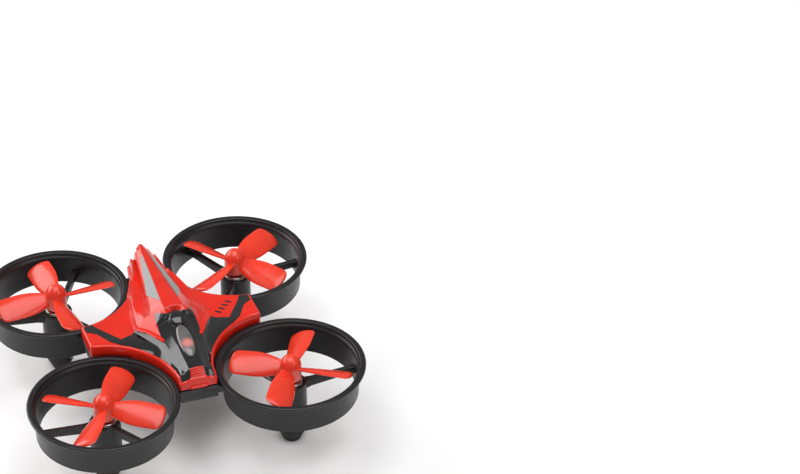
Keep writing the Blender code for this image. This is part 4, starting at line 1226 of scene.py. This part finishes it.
def battery_pieces(finishes):
    """Foil pouch with a folded seam, amber tape round its end and its small board."""
    low, high, rounding = CELL_LOW, CELL_HIGH, 0.9 * MM
    pouch = block_object("battery_pouch", low, high, rounding, 5)
    middle = (low.z + high.z) / 2
    seam = block_object("seam", (low.x - 0.04 * MM, low.y + 0.8 * MM, middle - 0.2 * MM),
                        (high.x + 0.04 * MM, high.y - 0.8 * MM, middle + 0.2 * MM), 0.12 * MM)
    combine(pouch, [seam], "UNION")
    place_piece(pouch, finishes["foil"], "battery", ("battery_cell",))
    tape = block_object("battery_tape", (low.x - 0.07 * MM, low.y - 0.06 * MM, low.z - 0.07 * MM),
                        (high.x + 0.07 * MM, low.y + 3.4 * MM, high.z + 0.07 * MM), rounding, 5)
    place_piece(tape, finishes["tape"], "battery")
    board = block_object("battery_board_cut", *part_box("battery_board"), 0.12 * MM)
    place_piece(board, finishes["board"], "battery", ("battery_board",))


def screw_piece(name, metal):
    """Self-tapping screw with a domed head, a cross recess and a ridged shank."""
    low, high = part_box(f"canopy_screw_{name}")
    centre = box_middle(f"canopy_screw_{name}")
    head = (high.x - low.x) / 2
    shank = 0.43 * MM
    profile = [(0, low.z), (head * 0.5, low.z + 0.02 * MM), (head * 0.85, low.z + 0.14 * MM),
               (head, low.z + 0.34 * MM), (head, low.z + 0.58 * MM), (shank, low.z + 0.6 * MM)]
    z, pitch = low.z + 0.8 * MM, 0.34 * MM
    while z < high.z - 0.5 * MM:
        profile += [(shank, z), (shank + 0.09 * MM, z + 0.13 * MM)]
        z += pitch
    profile += [(shank, high.z - 0.4 * MM), (0.1 * MM, high.z), (0, high.z)]
    screw = turned_object(f"shell_screw_{name}", profile, 40, centre, closed=False)
    cutters = []
    for turn in (0, math.pi / 2):
        place = Matrix.Translation((centre.x, centre.y, low.z)) @ Matrix.Rotation(turn + 0.4, 4, "Z")
        cutters.append(block_object("recess", (-0.62 * MM, -0.13 * MM, -0.4 * MM),
                                    (0.62 * MM, 0.13 * MM, 0.32 * MM), 0.04 * MM, place=place))
    combine(screw, cutters, "DIFFERENCE")
    place_piece(screw, metal, "airframe", (f"canopy_screw_{name}",))


def finish_electronics(finishes, metal):
    """The board and what is on it keep their own shapes and get their finishes."""
    wanted = {
        "circuit_board": finishes["board"], "control_chip": finishes["chip"],
        "radio_chip": finishes["chip"], "aerial_wire": finishes["dark_wire"],
        "battery_socket": finishes["nylon"], "lamp_front": finishes["lamp"],
        "lamp_rear": finishes["lamp"], "radio_crystal": metal,
    }
    for node, material in wanted.items():
        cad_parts[node].data.materials.clear()
        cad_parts[node].data.materials.append(material)


# --- operators ----------------------------------------------------------------


class DRONE_OT_stage(bpy.types.Operator):
    """Adds the camera, the floor and the lights"""

    bl_idname = "drone.stage"
    bl_label = "Stage"

    def execute(self, context):
        settings = context.scene.drone_stage
        add_camera(settings)
        add_floor(settings)
        add_lights(settings)
        return {"FINISHED"}


class DRONE_OT_ducts(bpy.types.Operator):
    """Builds the four ducts with their spokes and motor pods"""

    bl_idname = "drone.ducts"
    bl_label = "Ducts"

    def execute(self, context):
        material = frame_plastic()
        for corner in CORNERS:
            duct_moulding(corner, context.scene.drone_frame, material)
        return {"FINISHED"}


class DRONE_OT_deck(bpy.types.Operator):
    """Builds the centre deck and the battery tray"""

    bl_idname = "drone.deck"
    bl_label = "Deck and tray"

    def execute(self, context):
        material = frame_plastic()
        deck_moulding(context.scene.drone_frame, material)
        tray_moulding(material)
        return {"FINISHED"}


class DRONE_OT_shell(bpy.types.Operator):
    """Builds the red shell with its cowls, nose ribs and spine tip"""

    bl_idname = "drone.shell"
    bl_label = "Shell"

    def execute(self, context):
        material = shell_plastic()
        shell_skin(context.scene.drone_shell, material)
        spine_tip(material)
        intake_cowls(material)
        nose_ribs(material)
        return {"FINISHED"}


class DRONE_OT_film(bpy.types.Operator):
    """Lays the glossy black film on the shell, with the dome and the cockpit lens"""

    bl_idname = "drone.film"
    bl_label = "Film and lens"

    def execute(self, context):
        material = gloss_film()
        hood, front = hood_film(), front_film()
        film_piece("hood_film_left", [hood], material)
        film_piece("hood_film_right", [mirrored(hood)], material)
        film_piece("front_film_left", [front], material)
        film_piece("front_film_right", [mirrored(front)], material)
        film_piece("wing_bars", wing_bars(), material)
        sensor_dome(material)
        cockpit_lens()
        return {"FINISHED"}


class DRONE_OT_propellers(bpy.types.Operator):
    """Builds the four propellers"""

    bl_idname = "drone.propellers"
    bl_label = "Propellers"

    def execute(self, context):
        material = clear_red()
        for corner in CORNERS:
            propeller_moulding(corner, context.scene.drone_propeller, material)
        return {"FINISHED"}


class DRONE_OT_motors(bpy.types.Operator):
    """Builds the motors with their shafts, feet and wires"""

    bl_idname = "drone.motors"
    bl_label = "Motors, feet and wires"

    def execute(self, context):
        finishes = small_finishes("nylon", "light_wire", "dark_wire")
        metal = steel()
        shaft_metal = steel("ground_steel", (0.2, 0.2, 1), (0.12, 0.24))
        rubber = foot_rubber()
        for corner in CORNERS:
            motor_pieces(corner, finishes, metal, shaft_metal)
            foot_piece(corner, rubber)
            motor_wires(corner, context.scene.drone_detail, finishes)
        return {"FINISHED"}


class DRONE_OT_inside(bpy.types.Operator):
    """Builds the battery and the screws, and finishes the electronics"""

    bl_idname = "drone.inside"
    bl_label = "Battery, screws and board"

    def execute(self, context):
        finishes = small_finishes("foil", "tape", "board", "chip", "dark_wire", "nylon", "lamp")
        metal = steel("plated_screw_steel", (1, 1, 1), (0.25, 0.4))
        battery_pieces(finishes)
        for name in SCREWS:
            screw_piece(name, metal)
        finish_electronics(finishes, metal)
        return {"FINISHED"}


# --- stage --------------------------------------------------------------------


def turned_about(vector, axis, angle):
    return Matrix.Rotation(angle, 3, axis) @ vector


def add_camera(settings):
    """A long lens in front of the drone, to its right and above, turned so that the drone lies off centre."""
    azimuth, elevation = math.radians(-14.14616), math.radians(36.90627)
    roll, yaw, pitch = math.radians(2.97434), math.radians(-4.47277), math.radians(1.49887)
    back = Vector((math.sin(azimuth) * math.cos(elevation), -math.cos(azimuth) * math.cos(elevation),
                   math.sin(elevation)))
    ahead = -back
    right = ahead.cross(Vector((0, 0, 1))).normalized()
    up = right.cross(ahead)
    ahead, right = turned_about(ahead, up, yaw), turned_about(right, up, yaw)
    ahead, up = turned_about(ahead, right, pitch), turned_about(up, right, pitch)
    right, up = turned_about(right, ahead, roll), turned_about(up, ahead, roll)
    data = bpy.data.cameras.new("camera")
    data.lens = settings.lens
    data.sensor_width = 36.0
    data.clip_start = 0.01
    camera = add_object("camera", data)
    turn = Matrix((right, up, -ahead)).transposed().to_4x4()
    camera.matrix_world = Matrix.Translation((-0.14655, -0.58145, 0.4736)) @ turn
    bpy.context.scene.camera = camera


def add_floor(settings):
    """A wide flat pale sheet."""
    bm = bmesh.new()
    rows = [[bm.verts.new((x, y, 0)) for x in np.linspace(-2.5, 2.5, 9)] for y in np.linspace(-2.5, 2.5, 9)]
    for first, second in zip(rows, rows[1:]):
        bridge(bm, first, second, closed=False)
    mesh = plain_mesh(bm, "floor")
    mesh.shade_smooth()
    base = tuple(settings.floor)
    material, tree, shader = new_material("pale_floor", {"Specular IOR Level": 0.2})
    mottled = blend_colours(tree, speckle(tree, 6, 0.0, 1.0), base, darker(base, 0.985))
    tree.links.new(mottled, shader.inputs["Base Color"])
    tree.links.new(speckle(tree, 20, 0.6, 0.75), shader.inputs["Roughness"])
    mesh.materials.append(material)
    add_object("floor", mesh)


def add_panel(name, place, size, power):
    """A soft panel of light, aimed at the drone."""
    data = bpy.data.lights.new(name, "AREA")
    data.shape = "RECTANGLE"
    data.size, data.size_y = size
    data.energy = power
    lamp = add_object(name, data)
    way = Vector((0, 0, 0.02)) - Vector(place)
    lamp.matrix_world = Matrix.Translation(place) @ way.to_track_quat("-Z", "Y").to_matrix().to_4x4()


def add_lights(settings):
    world = bpy.data.worlds.new("soft_room")
    bpy.context.scene.world = world
    world.use_nodes = True
    background = world.node_tree.nodes["Background"]
    background.inputs["Color"].default_value = (1.0, 1.0, 1.0, 1.0)
    background.inputs["Strength"].default_value = settings.soft_light
    key = settings.key_light
    add_panel("top_panel", (0.0, -0.1, 0.9), (0.9, 0.9), key)
    add_panel("left_panel", (-0.62, 0.66, 0.48), (0.95, 0.62), key * 0.8)
    add_panel("front_panel", (0.45, -0.75, 0.55), (0.5, 0.3), key * 0.14)
    bpy.context.scene.view_settings.view_transform = "Standard"


# --- panel and registration ---------------------------------------------------

OPERATORS = (DRONE_OT_stage, DRONE_OT_ducts, DRONE_OT_deck, DRONE_OT_shell, DRONE_OT_film,
             DRONE_OT_propellers, DRONE_OT_motors, DRONE_OT_inside)
SETTINGS = {
    "drone_frame": DroneFrameSettings,
    "drone_shell": DroneShellSettings,
    "drone_propeller": DronePropellerSettings,
    "drone_detail": DroneDetailSettings,
    "drone_stage": DroneStageSettings,
}


class DRONE_PT_panel(bpy.types.Panel):
    """Lists the drone's settings and its build steps"""

    bl_label = "Palm drone"
    bl_space_type = "VIEW_3D"
    bl_region_type = "UI"
    bl_category = "Drone"

    def draw(self, context):
        for name, group in SETTINGS.items():
            box = self.layout.box()
            for prop in group.__annotations__:
                box.prop(getattr(context.scene, name), prop)
        for operator in OPERATORS:
            self.layout.operator(operator.bl_idname)


def register():
    for name, group in SETTINGS.items():
        bpy.utils.register_class(group)
        setattr(bpy.types.Scene, name, PointerProperty(type=group))
    for operator in OPERATORS:
        bpy.utils.register_class(operator)
    bpy.utils.register_class(DRONE_PT_panel)


def unregister():
    bpy.utils.unregister_class(DRONE_PT_panel)
    for operator in reversed(OPERATORS):
        bpy.utils.unregister_class(operator)
    for name, group in SETTINGS.items():
        delattr(bpy.types.Scene, name)
        bpy.utils.unregister_class(group)


def main():
    register()
    bpy.ops.drone.stage()
    bpy.ops.drone.ducts()
    bpy.ops.drone.deck()
    bpy.ops.drone.shell()
    bpy.ops.drone.film()
    bpy.ops.drone.propellers()
    bpy.ops.drone.motors()
    bpy.ops.drone.inside()


if __name__ == "__main__":
    main()
